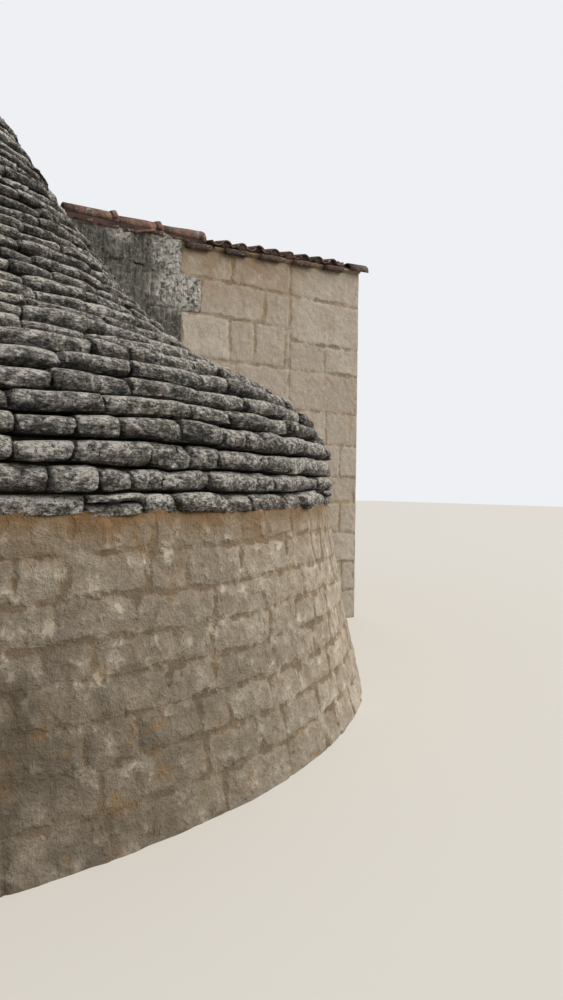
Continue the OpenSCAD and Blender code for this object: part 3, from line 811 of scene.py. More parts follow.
# %% [markdown]
# A skin has to be a closed body, so its front grid gets a thin shell behind it. The front needs many small
# faces and the back, which nobody sees, needs very few. The grid itself is spread between four edges,
# because some walls end at a slope, at a curved roof or at a toothed seam.

# %% Close a grid into a shell
def grid_shell(front, back):
    """Points, quads and rings of a closed shell: a front grid, with first axis along the wall and second
    axis up it. Strips close its top, its foot and both ends, whatever steps they take, and rungs close
    the back."""
    along, up = front.shape[:2]
    inner = np.arange(1, up - 1)
    points = np.concatenate([front.reshape(-1, 3), back[:, 0], back[:, -1],
                             back[0, inner], back[-1, inner]])
    i, j = np.meshgrid(np.arange(along - 1), np.arange(up - 1), indexing="ij")
    corner = i * up + j
    face = np.stack([corner, corner + up, corner + up + 1, corner + 1], -1).reshape(-1, 4)
    row = np.arange(along - 1)
    foot, head = along * up + row, along * up + along + row
    under = np.stack([foot, foot + 1, (row + 1) * up, row * up], -1)
    over = np.stack([head + 1, head, row * up + up - 1, (row + 1) * up + up - 1], -1)
    behind = np.stack([foot + 1, foot, head, head + 1], -1)[1:-1]
    side = along * up + 2 * along
    first = np.concatenate([foot[:1], side + inner - 1, head[:1]])
    last = np.concatenate([foot[-1:] + 1, side + up - 2 + inner - 1, head[-1:] + 1])
    edge, far = np.arange(up), np.arange(up) + (along - 1) * up
    left = np.stack([edge[:-1], edge[1:], first[1:], first[:-1]], -1)
    right = np.stack([far[1:], far[:-1], last[:-1], last[1:]], -1)
    rings = (np.concatenate([foot[:1] + 1, first, head[:1] + 1]),
             np.concatenate([foot[-1:], last, head[-1:]])[::-1])
    return points, np.concatenate([face, under, over, behind, left, right]), rings


def spread_grid(edges, across, up):
    """A grid between four edges. Left and right may follow the height z, low and high the place s along
    the wall, so s and z are worked out in turn until they agree, from a first guess of 2 m up."""
    left, right, low, high = (edge if callable(edge) else lambda place, edge=edge: edge + 0 * place
                              for edge in edges)
    u = np.linspace(0, 1, across + 1)[:, None]
    v = np.linspace(0, 1, up + 1)[None, :]
    z = 2.0 + 0 * v
    for _ in range(3):
        s = left(z) + (right(z) - left(z)) * u
        z = low(s) + (high(s) - low(s)) * v
    return left(z) + (right(z) - left(z)) * u, z


trial = np.zeros((5, 4, 3))
print(len(grid_shell(trial, trial)[1]), "quads close a grid of 5 by 4 points")

# %% [markdown]
# One function lays every wall. It works in a flat layout, place along the wall and height, and a second
# function bends that layout onto the wall. So the same plan of stones serves a round wall and a flat one.

# %% Lay a wall face
GRID = 0.02
SKIN_BACK = 0.03
ROUNDING = 0.03
MORTAR_OUT = 0.0015
LEAST_OUT = 0.001


def wall_face(name, edges, bend, plan, material, proud=0.012, rough=0.004, seed=0, stain=None):
    """A skin of stones between its left, right, low and high edges. The mortar stands 1.5 mm out, and a
    stone by proud * (1 - (1 - d / 0.03)^2) more, with lumps 140 and 50 mm wide, where d is the distance
    to a joint, up to 0.03. Stain is a function of place and height that is kept as a mark. On the rebuilt
    front it holds painted shade under the eave as well as damp."""
    s, z = spread_grid(edges, 40, 40)
    across = math.ceil(np.ptp(s, axis=0).max() / GRID)
    up = math.ceil(np.ptp(z, axis=1).max() / GRID)
    s, z = spread_grid(edges, across, up)
    joint, tone = plan(s, z)
    dip = np.clip(joint / ROUNDING, 0, 1)
    flat = np.stack([s, z, np.full(s.shape, 3.0)], -1)
    bumps = lumps(flat, 0.14, seed + 7) + 0.6 * lumps(flat, 0.05, seed + 8)
    out = MORTAR_OUT + proud * (1 - (1 - dip) ** 2) * (0.7 + 0.6 * tone) + rough * dip * bumps
    front = bend(s, z, np.maximum(out, LEAST_OUT))
    back = bend(s, z, np.full(s.shape, -SKIN_BACK))
    points, quads, ends = grid_shell(front, back)
    fill = np.zeros(len(points) - s.size)
    # The stain mark: lichen on the old front, damp with painted shade under the eave on the rebuilt one.
    damp = stain(s, z) if stain else 0 * s
    marks = {key: np.concatenate([values.ravel(), fill])
             for key, values in (("joint", joint), ("tone", tone), ("stain", damp))}
    skin = make_piece(name, points, quads, material, marks, ends)
    skin.data.set_sharp_from_angle(angle=math.radians(60))
    return skin


print("the grid of a wall is", round(GRID * 1000), "mm wide")

# %% [markdown]
# The walls need two bends. One rolls the flat layout round the drum, which also leans in, and the other
# stands it up on a plane. Modifiers could bend finished blocks too, but would stretch them at the foot.

# %% Bend a layout
def round_wall(s, z, out):
    """Carries a flat layout round the drum: s is measured at the top of the wall."""
    angle = s / wall_radii[-1]
    reach = np.interp(z, wall_heights, wall_radii) + out
    return np.stack([AXIS[0] + reach * np.cos(angle), AXIS[1] + reach * np.sin(angle), z], -1)


def flat_wall(at, along, outward):
    """Carries a flat layout onto an upright plane: at + s along + out outwards, and z up."""
    at, along, outward = (np.array(v, float) for v in (at, along, outward))

    def bend(s, z, out):
        flat = at + s[..., None] * along + out[..., None] * outward
        return np.concatenate([flat, z[..., None]], -1)
    return bend


trial = round_wall(np.zeros(2), np.array([0.0, WALL_TOP]), np.zeros(2))
print("the round wall leans in", round(float(trial[0, 0] - trial[1, 0]), 3), "m")

# %% [markdown]
# The round wall is built of rough blocks in eight courses, whose heights come from the photo. Each course
# has its own joints. The skin is laid in four parts, and leaves the passage to the tall room open.

# %% Lay the round wall
BEHIND_SLABS = 0.03
ROUND_BEDS = np.array([-0.02, 0.19, 0.37, 0.55, 0.73, 0.905, 1.09, 1.293, WALL_TOP + 0.02])
top_radius = wall_radii[-1]
around = 2 * math.pi * top_radius
round_cuts = cut_courses(around, len(ROUND_BEDS) - 1, 0.36, rng(21), 0.45)


def round_plan(s, z):
    """Stones of the round wall."""
    return ashlar_plan(ROUND_BEDS, round_cuts, np.mod(s, around), z, 31, waver=0.020, tilt=0.16)


def passage_edge(y):
    """The place along the round wall where the passage starts or ends, at each height."""
    return lambda z: top_radius * np.arcsin((y - AXIS[1]) / np.interp(z, wall_heights, wall_radii))


quarter = around / 4
PARTS = {
    "right_front": (-1.5 * quarter, passage_edge(passage_low)),
    "right_back": (passage_edge(passage_high), quarter),
    "left_back": (quarter, 2 * quarter),
    "left_front": (-2 * quarter, -1.5 * quarter),
}
for side, (start, stop) in PARTS.items():
    edges = (start, stop, 0.0, WALL_TOP + BEHIND_SLABS)
    piece = wall_face(f"round_wall_stones_{side}", edges, round_wall, round_plan, ROUND,
                      proud=0.010, rough=0.010, seed=3)
    print(side, len(piece.data.polygons), "faces")

# %% [markdown]
# The tall room leans on the round house. Its walls, its doorway and the slope of its roof are measured
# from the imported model. The roof rises in two directions: up to the back, and a little to the right.

# %% Measure the tall room
room_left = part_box("front_wall_old")[0].x
room_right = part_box("front_wall_rebuilt")[1].x
room_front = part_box("front_wall_old")[0].y
room_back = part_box("back_wall")[1].y
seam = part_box("front_wall_rebuilt")[0].x
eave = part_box("roof_deck")[0].z
front_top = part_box("front_wall_old")[1]
rise = math.atan((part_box("front_wall_rebuilt")[1].z - front_top.z) / (room_right - front_top.x))
slope = (front_top.z - eave - math.tan(rise) * (front_top.x - room_left)) / (front_top.y - room_front)
pitch = math.atan(slope * math.cos(rise))
lintel_low, lintel_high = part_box("door_lintel")
door_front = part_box("side_wall_over_door")[0].y
door_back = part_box("side_wall_over_door")[1].y
print("room", round(room_right - room_left, 3), "by", round(room_back - room_front, 3), "m, pitch and rise",
      [round(math.degrees(angle), 2) for angle in (pitch, rise)])

# %% [markdown]
# The tall room's front was half rebuilt. The old part on the left keeps its rough stones, and the new part
# is of larger squared blocks, laid in two panels that meet in one long upright joint. The heights of the
# courses and the joints in them come from the photo, in metres to the right of the round house's axis.

# %% Plan the front wall
FRONT_BEDS = np.array([-0.02, 0.35, 0.70, 1.05, 1.42, 1.72, 2.10, 2.49, 2.95, 3.41, 3.79, 4.40])
NEW_LEFT = [[2.95, 3.5], [3.2, 3.75], [2.9, 3.45], [3.3, 3.7], [3.0, 3.6], [3.25, 3.7], [2.9, 3.45],
            [2.98, 3.38], [3.28, 3.60, 4.02], [2.92, 3.73], [3.32]]
NEW_RIGHT = [[4.62], [4.45, 4.9], [4.6], [4.4, 4.85], [4.62], [4.85], [4.63], [], [4.60], [], []]
PANEL = 4.085
# One old stone, the tooth, runs on past the seam into the new work.
TOOTH = 9
TOOTH_LOW, TOOTH_HIGH = FRONT_BEDS[TOOTH:TOOTH + 2]
TOOTH_END = 2.92
RIGHT_BEDS = np.where(FRONT_BEDS == TOOTH_LOW, 3.27, FRONT_BEDS)


def under_deck(x, y):
    """Height of the underside of the deck."""
    return eave + math.tan(rise) * (x - room_left) + slope * (y - room_front)


def row(x):
    """A place along the front, measured from the round house's axis, in the frame of the whole row."""
    return AXIS[0] + x


def front_plan(s, z):
    """Stones of the rebuilt front: two panels with their own beds, joined at one upright joint. Each
    course of the left panel starts behind the seam, where the old stones cover it."""
    left_cuts = [np.array([seam - 0.4, seam, *map(row, cuts), row(PANEL)]) for cuts in NEW_LEFT]
    left_cuts[TOOTH] = np.array([seam - 0.4, *map(row, NEW_LEFT[TOOTH]), row(PANEL)])
    right_cuts = [np.array([row(PANEL), *map(row, cuts), room_right + 0.02]) for cuts in NEW_RIGHT]
    left = ashlar_plan(FRONT_BEDS, left_cuts, np.minimum(s, row(PANEL) - 1e-4), z, 51)
    right = ashlar_plan(RIGHT_BEDS, right_cuts, np.maximum(s, row(PANEL) + 1e-4), z, 51)
    return tuple(np.where(s < row(PANEL), a, b) for a, b in zip(left, right))


def old_plan(s, z):
    """Stones of the old front: rough blocks, two of which run up to the seam and past it."""
    cuts = cut_courses(room_right - room_left, len(FRONT_BEDS) - 1, 0.42, rng(61))
    cuts[TOOTH] = np.array([-PAST_END, 0.38, row(2.36) - room_left, row(2.94) - room_left])
    return ashlar_plan(FRONT_BEDS, cuts, s - room_left, z, 62, waver=0.012, tilt=0.1)


print(len(FRONT_BEDS) - 1, "courses, and a tooth", round(TOOTH_HIGH - TOOTH_LOW, 2), "m high")

# %% [markdown]
# The old stones end at the seam, which has one tooth, and the rebuilt ones begin there. To the left both
# stop where the slabs of the round house cover them. Each edge is a function of height, so the skins fit
# the curve of the roof without any cutting.

# %% Ends of the front wall
def old_end(z):
    """The old stones end at the seam, but one of them runs on into the new work."""
    return seam + (row(TOOTH_END) - seam) * ((z > TOOTH_LOW) & (z < TOOTH_HIGH))


def roof_line(z):
    """Where the front wall meets the round house: 60 mm inside the slabs' noses."""
    reach = np.interp(z, np.concatenate([wall_heights, course_bottom]),
                      np.concatenate([wall_radii, course_radius]))
    return np.maximum(room_left, AXIS[0] + np.sqrt(np.maximum(reach ** 2 - room_front ** 2, 0)) - 0.06)


def new_start(z):
    """The rebuilt stones start where the old ones end, or at the round house below that."""
    return np.maximum(old_end(z), roof_line(z))


probe = np.linspace(0, eave, 400)
old_foot = probe[roof_line(probe) > old_end(probe) - 0.05].max()
print("the old stones start", round(float(old_foot), 2), "m up")

# %% [markdown]
# Damp creeps down from the eave, with painted shade most at the left, and lichen keeps to the old stones
# near the seam. Both are worked out from place and height and kept as a mark on the skin, because the
# finish can't know where the eave is.

# %% Stains of the front wall
DAMP_AND_SHADE_REACH = 0.75


def eave_damp_and_painted_shade(s, z):
    """Damp and painted shade under the eave, most at the left, where they reach 0.75 m down."""
    left_share = np.clip((row(5.3) - s) / 1.6, 0.25, 1)
    return np.clip(1 - (under_deck(s, room_front) - z) / (DAMP_AND_SHADE_REACH * left_share), 0, 1) * left_share


def old_lichen(s, z):
    """Pale lichen, which covers the old front near the seam from 3.35 m up, and a spot under the tiles."""
    near_seam = np.clip((s - row(2.25)) / 0.35, 0, 1) * np.clip((z - 3.35) / 0.1, 0, 1)
    spot = np.exp(-((s - row(2.05)) ** 2 + (z - 4.09) ** 2) / 0.08 ** 2)
    return np.maximum(near_seam, 1.5 * spot).clip(0, 1)


trial = eave_damp_and_painted_shade(np.array([seam, room_right]), np.full(2, eave))
print("damp at the seam and at the right corner", trial.round(2))

# %% [markdown]
# The top of the wall follows the underside of the deck. The old stones end ragged under the edge tiles.
# The rebuilt ones carry a ledge of mortar, in which the flat tiles of the eave lie.

# %% Top of the front wall
# The ledge of mortar, where it starts, and how ragged the old stones end under the edge tiles.
LEDGE = 0.045
LEDGE_START = 3.05
OLD_TOP = 0.072
RAGGED = 0.020
CRUMBLED = 0.012
OLD_STONE = 0.19
# The flat eave tiles start here. Left of this place the wall is higher than under them.
FLAT_START = 2.84
HIGH_TOP = 0.052
FLAT_TOP = 0.034
plane = flat_wall((0, room_front), (1, 0), (0, -1))


def front_face(s, z, out):
    """The front plane. Over the deck's underside its mortar stands out as a ledge between the tiles."""
    above = np.clip((z - under_deck(s, room_front) + 0.004) / 0.012, 0, 1) * (s > row(LEDGE_START))
    wavy = 1 + 0.35 * lumps(np.stack([s, z, 0 * s], -1), 0.09, 41)
    return plane(s, z, out + LEDGE * above * wavy * (out > 0))


def under_edge_tiles(s):
    """The top of the old front: ragged stones of different heights, up to the tiles along the edge."""
    stone = np.floor((s - room_left + 0.05) / OLD_STONE)
    uneven = lumps(np.stack([s, 0 * s, 0 * s], -1), 0.06, 43)
    return under_deck(s, room_front) + OLD_TOP + RAGGED * np.sin(5.1 * stone) + CRUMBLED * uneven


def under_cover_tiles(s):
    """The top of the rebuilt front, at the top of the flat eave tiles."""
    return under_deck(s, room_front) + np.where(s < row(FLAT_START), HIGH_TOP, FLAT_TOP)


def new_front_plan(s, z):
    """The rebuilt front, with plain mortar over the underside of the deck."""
    joint, tone = front_plan(s, z)
    return np.minimum(joint, np.clip(under_deck(s, room_front) - z, 0, 1)), tone


print("the ledge of mortar stands out", round(LEDGE * 1000), "mm")

# %% [markdown]
# Both parts of the front are laid on one plane. Old stones stand further out of their mortar and are
# rougher. Each skin runs a few millimetres past the corner of the room, so that two skins meet there.

# %% Lay the front wall
PAST_CORNER = 0.008
old_edges = (roof_line, old_end, old_foot, under_edge_tiles)
old_front = wall_face("old_front_stones", old_edges, plane, old_plan, OLD,
                      proud=0.016, rough=0.008, seed=4, stain=old_lichen)
new_edges = (new_start, room_right + PAST_CORNER, 0.0, under_cover_tiles)
# The rebuilt front's stain mark holds damp and painted shade under the eave.
new_front = wall_face("rebuilt_front_stones", new_edges, front_face, new_front_plan, SQUARED,
                      proud=0.009, rough=0.005, seed=5, stain=eave_damp_and_painted_shade)
print("front", len(old_front.data.polygons), "and", len(new_front.data.polygons), "faces")

# %% [markdown]
# The photo doesn't show the other walls. They carry plain courses of the same blocks, whose lengths vary
# by chance. One function serves all three, with the joints counted from the start of each wall.

# %% Plan the side, back and left walls
side_beds = even_beds(0, 5.3, 0.40, rng(71))
side_cuts = cut_courses(room_back - room_front, len(side_beds) - 1, 0.52, rng(72))
back_cuts = cut_courses(room_right - room_left, len(side_beds) - 1, 0.50, rng(73))


def plain_plan(cuts, start, seed):
    """Stones of a plain wall, whose joints are counted from its start."""
    return lambda s, z: ashlar_plan(side_beds, cuts, s - start, z, seed)


side_plan = plain_plan(side_cuts, room_front, 74)
back_plan = plain_plan(back_cuts, -room_right, 75)
left_plan = plain_plan(side_cuts, -room_back, 76)
print(len(side_beds) - 1, "courses in each wall")

# %% [markdown]
# The walls go up to the slope of the roof. The side wall leaves the doorway and its lintel open. The left
# wall rides on the round house, so its lower edge follows the slabs.

# %% Lay the side, back and left walls
round_heights = np.concatenate([wall_heights, course_bottom + 0.001, [course_top[-1]]])
round_reach = np.concatenate([wall_radii, course_radius, course_radius[-1:]])


def over_round_house(s):
    """Height at which the left wall leaves the round house, 50 mm inside the slabs' noses."""
    away = np.hypot(-s - AXIS[1], room_left - AXIS[0]) + 0.05
    return np.interp(-away, -round_reach, round_heights) * (away < round_reach[0])


def jamb(y, sign):
    """The edge of a side wall at the doorway, drawn back where the lintel bears."""
    bearing = abs(lintel_low.y - door_front)
    return lambda z: y + sign * bearing * ((z > lintel_low.z) & (z < lintel_high.z))


side = flat_wall((room_right, 0), (0, 1), (1, 0))
back = flat_wall((0, room_back), (-1, 0), (0, 1))
left = flat_wall((room_left, 0), (0, -1), (-1, 0))


def side_top(s):
    """The top of the side wall."""
    return under_deck(room_right, s)


def back_top(s):
    """The top of the back wall."""
    return under_deck(-s, room_back)


def left_top(s):
    """The top of the left wall."""
    return under_deck(room_left, -s)


WALLS = {
    "side_wall_stones_front": (
        (room_front - PAST_CORNER, jamb(door_front, -1), 0.0, side_top), side, side_plan, SQUARED),
    "side_wall_stones_back": (
        (jamb(door_back, 1), room_back + PAST_CORNER, 0.0, side_top), side, side_plan, SQUARED),
    "side_wall_stones_over_door": (
        (door_front, door_back, lintel_high.z, side_top), side, side_plan, SQUARED),
    "back_wall_stones": (
        (-room_right - PAST_CORNER, -room_left + PAST_CORNER, 0.0, back_top), back, back_plan, SQUARED),
    "left_wall_stones": (
        (-room_back - PAST_CORNER, -room_front + PAST_CORNER, over_round_house, left_top),
        left, left_plan, OLD),
}
for name, (edges, bend, plan, material) in WALLS.items():
    piece = wall_face(name, edges, bend, plan, material, proud=0.008, rough=0.004, seed=6)
    print(name, len(piece.data.polygons), "faces")

# %% [markdown]
# A coppo is a tapered half pipe. Pans lie hollow side up with the wide end at the top, covers lie hollow
# side down with the wide end at the bottom, and each tile laps the next. All are laid flat, with the
# lower front corner of the deck at the origin, and then tilted to the slope.

# %% Shape tiles
TILE_PITCH = 0.21
TILE_T = 0.014
TILE_LENGTH = 0.45
TILE_STEP = 0.37
DECK_T = 0.038
# Points on each arc, and how far a tile slides, turns in a metre, and lifts.
ARC = 7
SLIDE = 0.012
TURN = 0.02
LIFT = 0.003


def tilted(points):
    """Turns a flat layout up the slope, then up to the right, and moves it to the lower front corner."""
    x, y, z = points[..., 0], points[..., 1], points[..., 2]
    across = y * math.cos(pitch) - z * math.sin(pitch)
    up = y * math.sin(pitch) + z * math.cos(pitch)
    return np.stack([room_left + x * math.cos(rise) - up * math.sin(rise), room_front + across,
                     eave + x * math.sin(rise) + up * math.cos(rise)], -1)


def half_pipes(starts, along, up, length, radii, opening, seed, drop=0.0, wobble=0.003, thick=TILE_T):
    """Bars for tapered half pipes. A tile's point is start + u length along + r sin(a) across + r cos(a) up,
    where u runs from 0 to 1, the radius r goes from one end's to the other's, and the angle a opens
    to both sides. The outer and the inner arc are one loop. Drop lowers the far end. Each tile slides
    along, turns and lifts a little by chance, and lumps 120 mm wide warp it by up to the wobble."""
    draw = rng(seed)
    n = len(starts)
    along, up = np.array(along, float), np.array(up, float)
    across = np.cross(along, up)
    u = np.linspace(0, 1, 4)[None, :, None]
    angle = np.concatenate([np.linspace(-opening, opening, ARC), np.linspace(opening, -opening, ARC)])
    angle = angle[None, None, :]
    inner = np.concatenate([np.zeros(ARC), np.full(ARC, thick)])[None, None, :]
    radius = radii[0] + (radii[1] - radii[0]) * u - inner
    turn_by, lift, slide = (draw.uniform(-1, 1, (n, 1, 1)) for _ in range(3))
    run = u * length + SLIDE * slide
    side = radius * np.sin(angle) + TURN * turn_by * (u - 0.5) * length
    height = radius * np.cos(angle) - drop * u + LIFT * lift
    run, side, height = np.broadcast_arrays(run, side, height)
    points = starts[:, None, None, :] + run[..., None] * along
    points = points + side[..., None] * across + height[..., None] * up
    warp = wobble * np.stack([lumps(points, 0.12, seed + i) for i in range(3)], -1)
    return points + warp


def lay_tiles(name, points, material, seed):
    """Tilts a set of bars, and makes them one piece with a random tone for each tile."""
    tone = rng(seed).uniform(0, 1, (len(points), 1, 1))
    return many_bars(name, tilted(points), material, {"tone": tone})


print("tiles", TILE_LENGTH, "m long,", round(TILE_LENGTH - TILE_STEP, 2), "m of it under the next")

# %% [markdown]
# The covers sit in the pans, so their height follows from both curves: a cover's edges rest on the hollow
# faces of the pans beside it. There are as many columns as fit, and both sides share what is left over.

# %% Measure the tile rows
# Cover: radius at the wide and the narrow end, and rise. Pan: the same radii, its lift and its opening.
COVER_R = 0.084
COVER_NARROW = 0.070
COVER_RISE = 0.058
PAN_R = 0.095
PAN_NARROW = 0.083
PAN_LIFT = 0.005
PAN_OPENING = 1.05
# Tiles along the edges and over the corner, and how far each kind sticks out.
EDGE_R = 0.095
OVERHANG = 0.050
CORNER_R = 0.090
CORNER_LIFT = 0.030
CORNER_L = 0.280
CORNER_OUT = 0.120
EAVE_OUT = 0.070
room_w = room_right - room_left
slope_l = (room_back - room_front) / math.cos(pitch)
columns = int(room_w / TILE_PITCH)
margin = (room_w - columns * TILE_PITCH) / 2
front_end = row(2.990) - room_left
corner_start = room_w + CORNER_OUT - CORNER_L
corner_back = 2 * CORNER_R - EAVE_OUT
pan_axis = DECK_T + PAN_LIFT + PAN_R
cover_half = math.sqrt((COVER_R - TILE_T) ** 2 - (COVER_R - COVER_RISE) ** 2)
cover_foot = pan_axis - math.sqrt((PAN_R - TILE_T) ** 2 - (TILE_PITCH / 2 - cover_half) ** 2)
cover_axis = cover_foot + COVER_RISE - COVER_R
cover_opening = math.acos(1 - COVER_RISE / COVER_R)


def rows_up(x_places, half):
    """Foot of each tile of every column, up to the top. Columns hang over the eave, or start behind the
    tiles that lie along the front edge and over the corner."""
    feet = []
    for x in x_places:
        start = -OVERHANG
        if x < front_end:
            start = 2 * EDGE_R
        elif x + half > corner_start:
            start = corner_back
        run = slope_l - 2 * EDGE_R - start - TILE_LENGTH
        count = max(2, round(run / TILE_STEP) + 1)
        feet += [(x, start + run * k / (count - 1), 0.0) for k in range(count)]
    return np.array(feet)


print(columns, "columns of pans between", columns + 1, "columns of covers")

# %% [markdown]
# A roofer lays the pans first and the covers over them. In a model the order makes no difference. All
# tiles of a kind are one array of bars, and no two have the same warp. The numbers 81 to 104 are seeds.

# %% Lay the tiles
cover_feet = rows_up([margin + i * TILE_PITCH for i in range(columns + 1)], COVER_R)
pan_feet = rows_up([margin + (i + 0.5) * TILE_PITCH for i in range(columns)], PAN_R)
up_slope, flat_up, flat_right = (0, 1, 0), (0, 0, 1), (1, 0, 0)
covers = half_pipes(cover_feet + (0, 0, cover_axis), up_slope, flat_up, TILE_LENGTH,
                    (COVER_R, COVER_NARROW), cover_opening, 81, drop=-0.008, wobble=0.006)
pans = half_pipes(pan_feet + (0, 0, pan_axis), up_slope, (0, 0, -1), TILE_LENGTH,
                  (PAN_NARROW, PAN_R), PAN_OPENING, 82, drop=0.006)
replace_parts(lay_tiles("cover_coppi", covers, OLD_CLAY, 83), "cover_tiles")
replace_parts(lay_tiles("pan_coppi", pans, OLD_CLAY, 84), "pan_tiles")
print(len(covers), "covers and", len(pans), "pans")

# %% [markdown]
# The mouths of the covers along the eave are stopped with mortar. Under them flat tiles, dark with soot and
# painted shade, stick out of a ledge of mortar, and a round tile lies over the corner. They keep rain off
# the wall.

# %% Lay the eave
# Flat tiles: size, height over the deck's lower side, step, and how far in from the right the last ends.
EAVE_L = 0.290
EAVE_W = 0.150
EAVE_T = 0.029
EAVE_LIFT = 0.003
EAVE_STEP = 0.454
EAVE_IN = 0.270
# The mortar that sticks to a flat tile makes it thicker, and about half of it hangs below.
EAVE_MORTAR = 0.028
EAVE_SAG = 0.015
# Mortar in a cover's mouth: length, radii and thickness.
PLUG_L = 0.09
PLUG_RADII = (0.074, 0.072)
PLUG_T = 0.066


def flat_tiles(starts, length, width, thick, seed):
    """Bars for flat tiles: a rectangle with its corners taken off, carried along its length and pushed by
    lumps 70 mm wide."""
    side = np.array([0.0, 0.0, 0.06, 0.94, 1.0, 1.0, 0.94, 0.06]) * width
    up = np.array([0.25, 0.75, 1.0, 1.0, 0.75, 0.25, 0.0, 0.0]) * thick
    u = np.linspace(0, 1, 6)[:, None] * length
    shape = np.stack(np.broadcast_arrays(u, side, up), -1)
    points = starts[:, None, None, :] + shape
    points = points + 0.004 * np.stack([lumps(points, 0.07, seed + i) for i in range(3)], -1)
    return points


last_eave = room_w - EAVE_IN - EAVE_L
eave_x = last_eave - EAVE_STEP * np.arange(int((last_eave + EAVE_L - front_end) / EAVE_STEP) + 1)
eave_starts = np.stack([eave_x, 0 * eave_x - EAVE_OUT, 0 * eave_x + EAVE_LIFT - EAVE_SAG], -1)
eaves = flat_tiles(eave_starts, EAVE_L, EAVE_W, EAVE_T + EAVE_MORTAR, 91)
corner_foot = np.array([[corner_start, CORNER_R - EAVE_OUT, CORNER_LIFT]])
corner = half_pipes(corner_foot, flat_right, flat_up, CORNER_L,
                    (CORNER_R - 0.004, CORNER_R), math.pi / 2, 92)
mouths = cover_feet[np.abs(cover_feet[:, 1] + OVERHANG) < 0.001]
plugs = half_pipes(mouths + (0, 0.012, cover_axis - 0.008), up_slope, flat_up, PLUG_L, PLUG_RADII,
                   cover_opening, 93, wobble=0.008, thick=PLUG_T)
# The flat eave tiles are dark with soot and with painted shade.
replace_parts(lay_tiles("eave_tiles_in_mortar", eaves, SOOT_AND_SHADE_CLAY, 94), "eave_tiles")
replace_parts(lay_tiles("corner_coppo", corner, SOOT_AND_SHADE_CLAY, 95), "corner_tile")
lay_tiles("cover_mouth_mortar", plugs, SOOTY, 96)
print(len(eaves), "flat tiles along the eave,", len(plugs), "stopped mouths")

# %% [markdown]
# Along the front over the old wall and along the top, half round tiles lie end to end in mortar. They
# close the rows of the roof against wind. Each laps the next, and a lump of clay covers the lap.

# %% Lay the edge tiles
EDGE_STEP = 0.480
EDGE_LAP = 0.050
EDGE_TAPER = 0.016
# The bed of mortar under the front edge, at its two ends.
BED_LEFT = 0.106
BED_RIGHT = 0.045
# The lump over a lap: length, radii over the tile's, opening and thickness.
COLLAR_L = 0.045
COLLAR_RADII = (EDGE_R + 0.004, EDGE_R + 0.018)
COLLAR_OPENING = 1.3
COLLAR_T = 0.03


def edge_pipes(length, y, low, high, seed):
    """Tapered tiles laid end to end along an edge, and a short collar of clay at every lap. Their bed is
    low at the far end and high at the near one."""
    count = round((length - EDGE_LAP) / EDGE_STEP)
    step = (length - EDGE_LAP) / count
    x = step * np.arange(count)
    fall = (high - low) / length
    along = np.array([1, 0, -fall]) / math.hypot(1, fall)
    across_up = np.array([fall, 0, 1]) / math.hypot(1, fall)
    feet = np.stack([x, 0 * x + y, DECK_T + high - fall * x], -1)
    tiles = half_pipes(feet, along, across_up, step + EDGE_LAP,
                       (EDGE_R - EDGE_TAPER, EDGE_R), math.pi / 2, seed, wobble=0.008)
    collars = half_pipes(feet + (step - 0.02) * along, along, across_up, COLLAR_L, COLLAR_RADII,
                         COLLAR_OPENING, seed + 1, wobble=0.010, thick=COLLAR_T)
    return np.concatenate([tiles, collars])


front_pipes = edge_pipes(front_end, EDGE_R, BED_RIGHT, BED_LEFT, 97)
top_pipes = edge_pipes(room_w, slope_l - EDGE_R, 0.0, 0.0, 98)
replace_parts(lay_tiles("front_edge_coppi", front_pipes, CLAY, 99), "front_edge_tiles")
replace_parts(lay_tiles("top_edge_coppi", top_pipes, CLAY, 100), "top_edge_tiles")
print(len(front_pipes) // 2, "tiles along the front edge and", len(top_pipes) // 2, "along the top")

# %% [markdown]
# The wedge of mortar under the front edge tiles was packed out with broken tiles, and one flat tile lies
# loose on the old wall. The broken ones are the same half pipes, shorter and with more wobble.

# %% Pack broken tiles in the mortar
SHARD_L = 0.20
SHARD_STEP = 0.26
SHARD_RADII = (0.044, 0.052)
shard_x = np.arange(0.05, 1.35, SHARD_STEP)
shard_z = DECK_T + 0.55 * (BED_LEFT - (BED_LEFT - BED_RIGHT) * shard_x / front_end) - 0.02
shard_feet = np.stack([shard_x, 0 * shard_x + 0.040, shard_z + 0.008 * np.sin(9 * shard_x)], -1)
shards = half_pipes(shard_feet, flat_right, flat_up, SHARD_L, SHARD_RADII, math.pi / 2, 101, wobble=0.016)
lay_tiles("shards_under_front_edge", shards, OLD_CLAY, 102)
LOOSE_L = 0.24
LOOSE_W = 0.10
LOOSE_T = 0.022
loose = flat_tiles(np.array([[0.0, 0.0, 0.0]]), LOOSE_L, LOOSE_W, LOOSE_T, 103)
lean = math.radians(14)
loose = loose @ np.array([[math.cos(lean), 0, math.sin(lean)], [0, 1, 0],
                          [-math.sin(lean), 0, math.cos(lean)]])
lay_tiles("loose_flat_tile", loose + (row(2.16) - room_left, -0.035, 0.040), CLAY, 104)
print(len(shards), "broken tiles under the front edge")

# %% [markdown]
# The studio starts with a pale floor that runs to the horizon. It looks a little paler to the camera than
# it is to the light that it throws back, so that the walls don't get too much light from below.

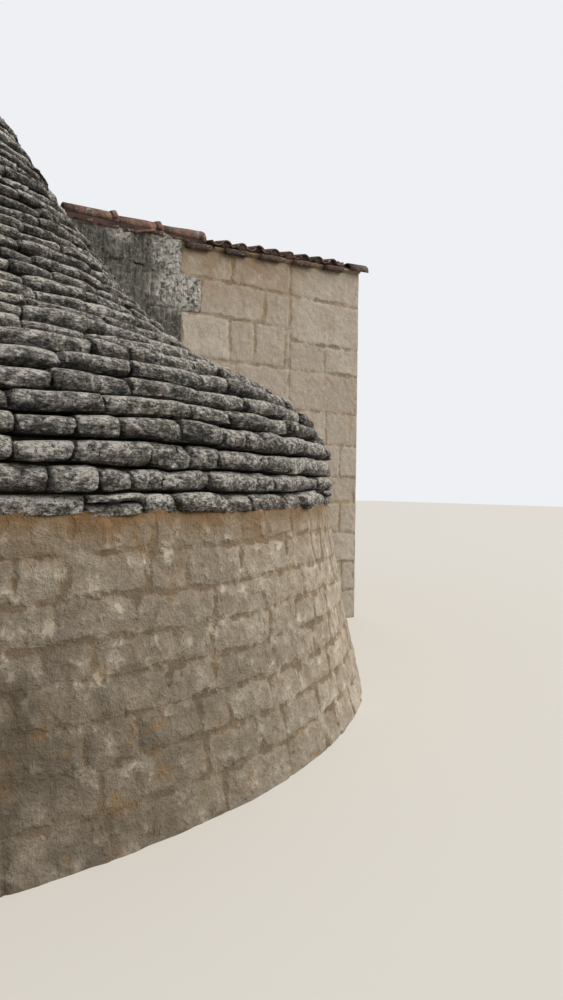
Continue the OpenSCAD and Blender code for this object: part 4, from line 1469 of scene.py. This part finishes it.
# %% Floor
FLOOR_REACH = 60.0
floor_mesh = bpy.data.meshes.new("studio_floor")
square = [(x * FLOOR_REACH, y * FLOOR_REACH, 0) for x, y in ((-1, -1), (1, -1), (1, 1), (-1, 1))]
floor_mesh.from_pydata(square, [], [(0, 1, 2, 3)])
floor = bpy.data.objects.new("studio_floor", floor_mesh)
bpy.context.scene.collection.objects.link(floor)
pale, tree, _ = new_material("pale_studio_floor")
seen = add(tree, "ShaderNodeLightPath")
floor_colour = add(tree, MIX, {0: seen, 6: paint("#96938c"), 7: paint("#d2d0cb")}, **BLEND)
surface = add(tree, "ShaderNodeBsdfPrincipled", {"Base Color": floor_colour, "Roughness": 0.9})
add(tree, "ShaderNodeOutputMaterial", {"Surface": surface})
floor_mesh.materials.append(pale)
print("floor", 2 * FLOOR_REACH, "m wide")

# %% [markdown]
# Soft light comes from all sides, and a little more of it from the upper right. A plain bright world
# gives the first, and it looks brighter to the camera than to the stones. A sun lamp 50 degrees wide gives
# the second: its shadows are soft, and its light is a little warmer.

# %% World and lamp
world = bpy.data.worlds.new("studio")
world.use_nodes = True
bpy.context.scene.world = world
tree = world.node_tree
tree.nodes.clear()
seen = add(tree, "ShaderNodeLightPath")
backdrop = add(tree, MIX, {0: seen, 6: paint("#e6e6e6"), 7: paint("#eef0f3")}, **BLEND)
strength = add(tree, SPREAD, {"Value": seen, "To Min": 0.62, "To Max": 1.0})
glow = add(tree, "ShaderNodeBackground", {"Color": backdrop, "Strength": strength})
add(tree, "ShaderNodeOutputWorld", {"Surface": glow})

sun = bpy.data.lights.new("soft_sun", "SUN")
sun.energy = 3.4
sun.angle = math.radians(50)
sun.color = (1.0, 0.95, 0.88)
lamp = bpy.data.objects.new("soft_sun", sun)
lamp.rotation_euler = (math.radians(28), math.radians(47), 0)
bpy.context.scene.collection.objects.link(lamp)
print("lamp", sun.energy, "W per square metre")

# %% [markdown]
# The camera stands where the photo was taken from: near the wall, 1.6 m over the ground, and turned a
# little off level. Its axes are built from three angles: heading, tilt down and roll.

# %% Camera
EYE = Vector((AXIS[0] - 0.79, AXIS[1] - 6.90, 1.6))
HEADING = math.radians(35.47)
DOWN = math.radians(1.05)
ROLL = math.radians(0.66)
forward = Vector((math.sin(HEADING) * math.cos(DOWN), math.cos(HEADING) * math.cos(DOWN), -math.sin(DOWN)))
level = Vector((math.cos(HEADING), -math.sin(HEADING), 0.0))
upward = level.cross(forward)
right = level * math.cos(ROLL) + upward * math.sin(ROLL)
upward = right.cross(forward)
lens = bpy.data.cameras.new("camera")
lens.sensor_width = 36.0
lens.lens = 26.0
camera = bpy.data.objects.new("camera", lens)
camera.matrix_world = Matrix((right, upward, -forward)).transposed().to_4x4()
camera.matrix_world.translation = EYE
bpy.context.scene.collection.objects.link(camera)
bpy.context.scene.camera = camera
bpy.context.scene.view_settings.view_transform = "Standard"
print("camera at", [round(c, 2) for c in EYE], "with a lens of", lens.lens, "mm")
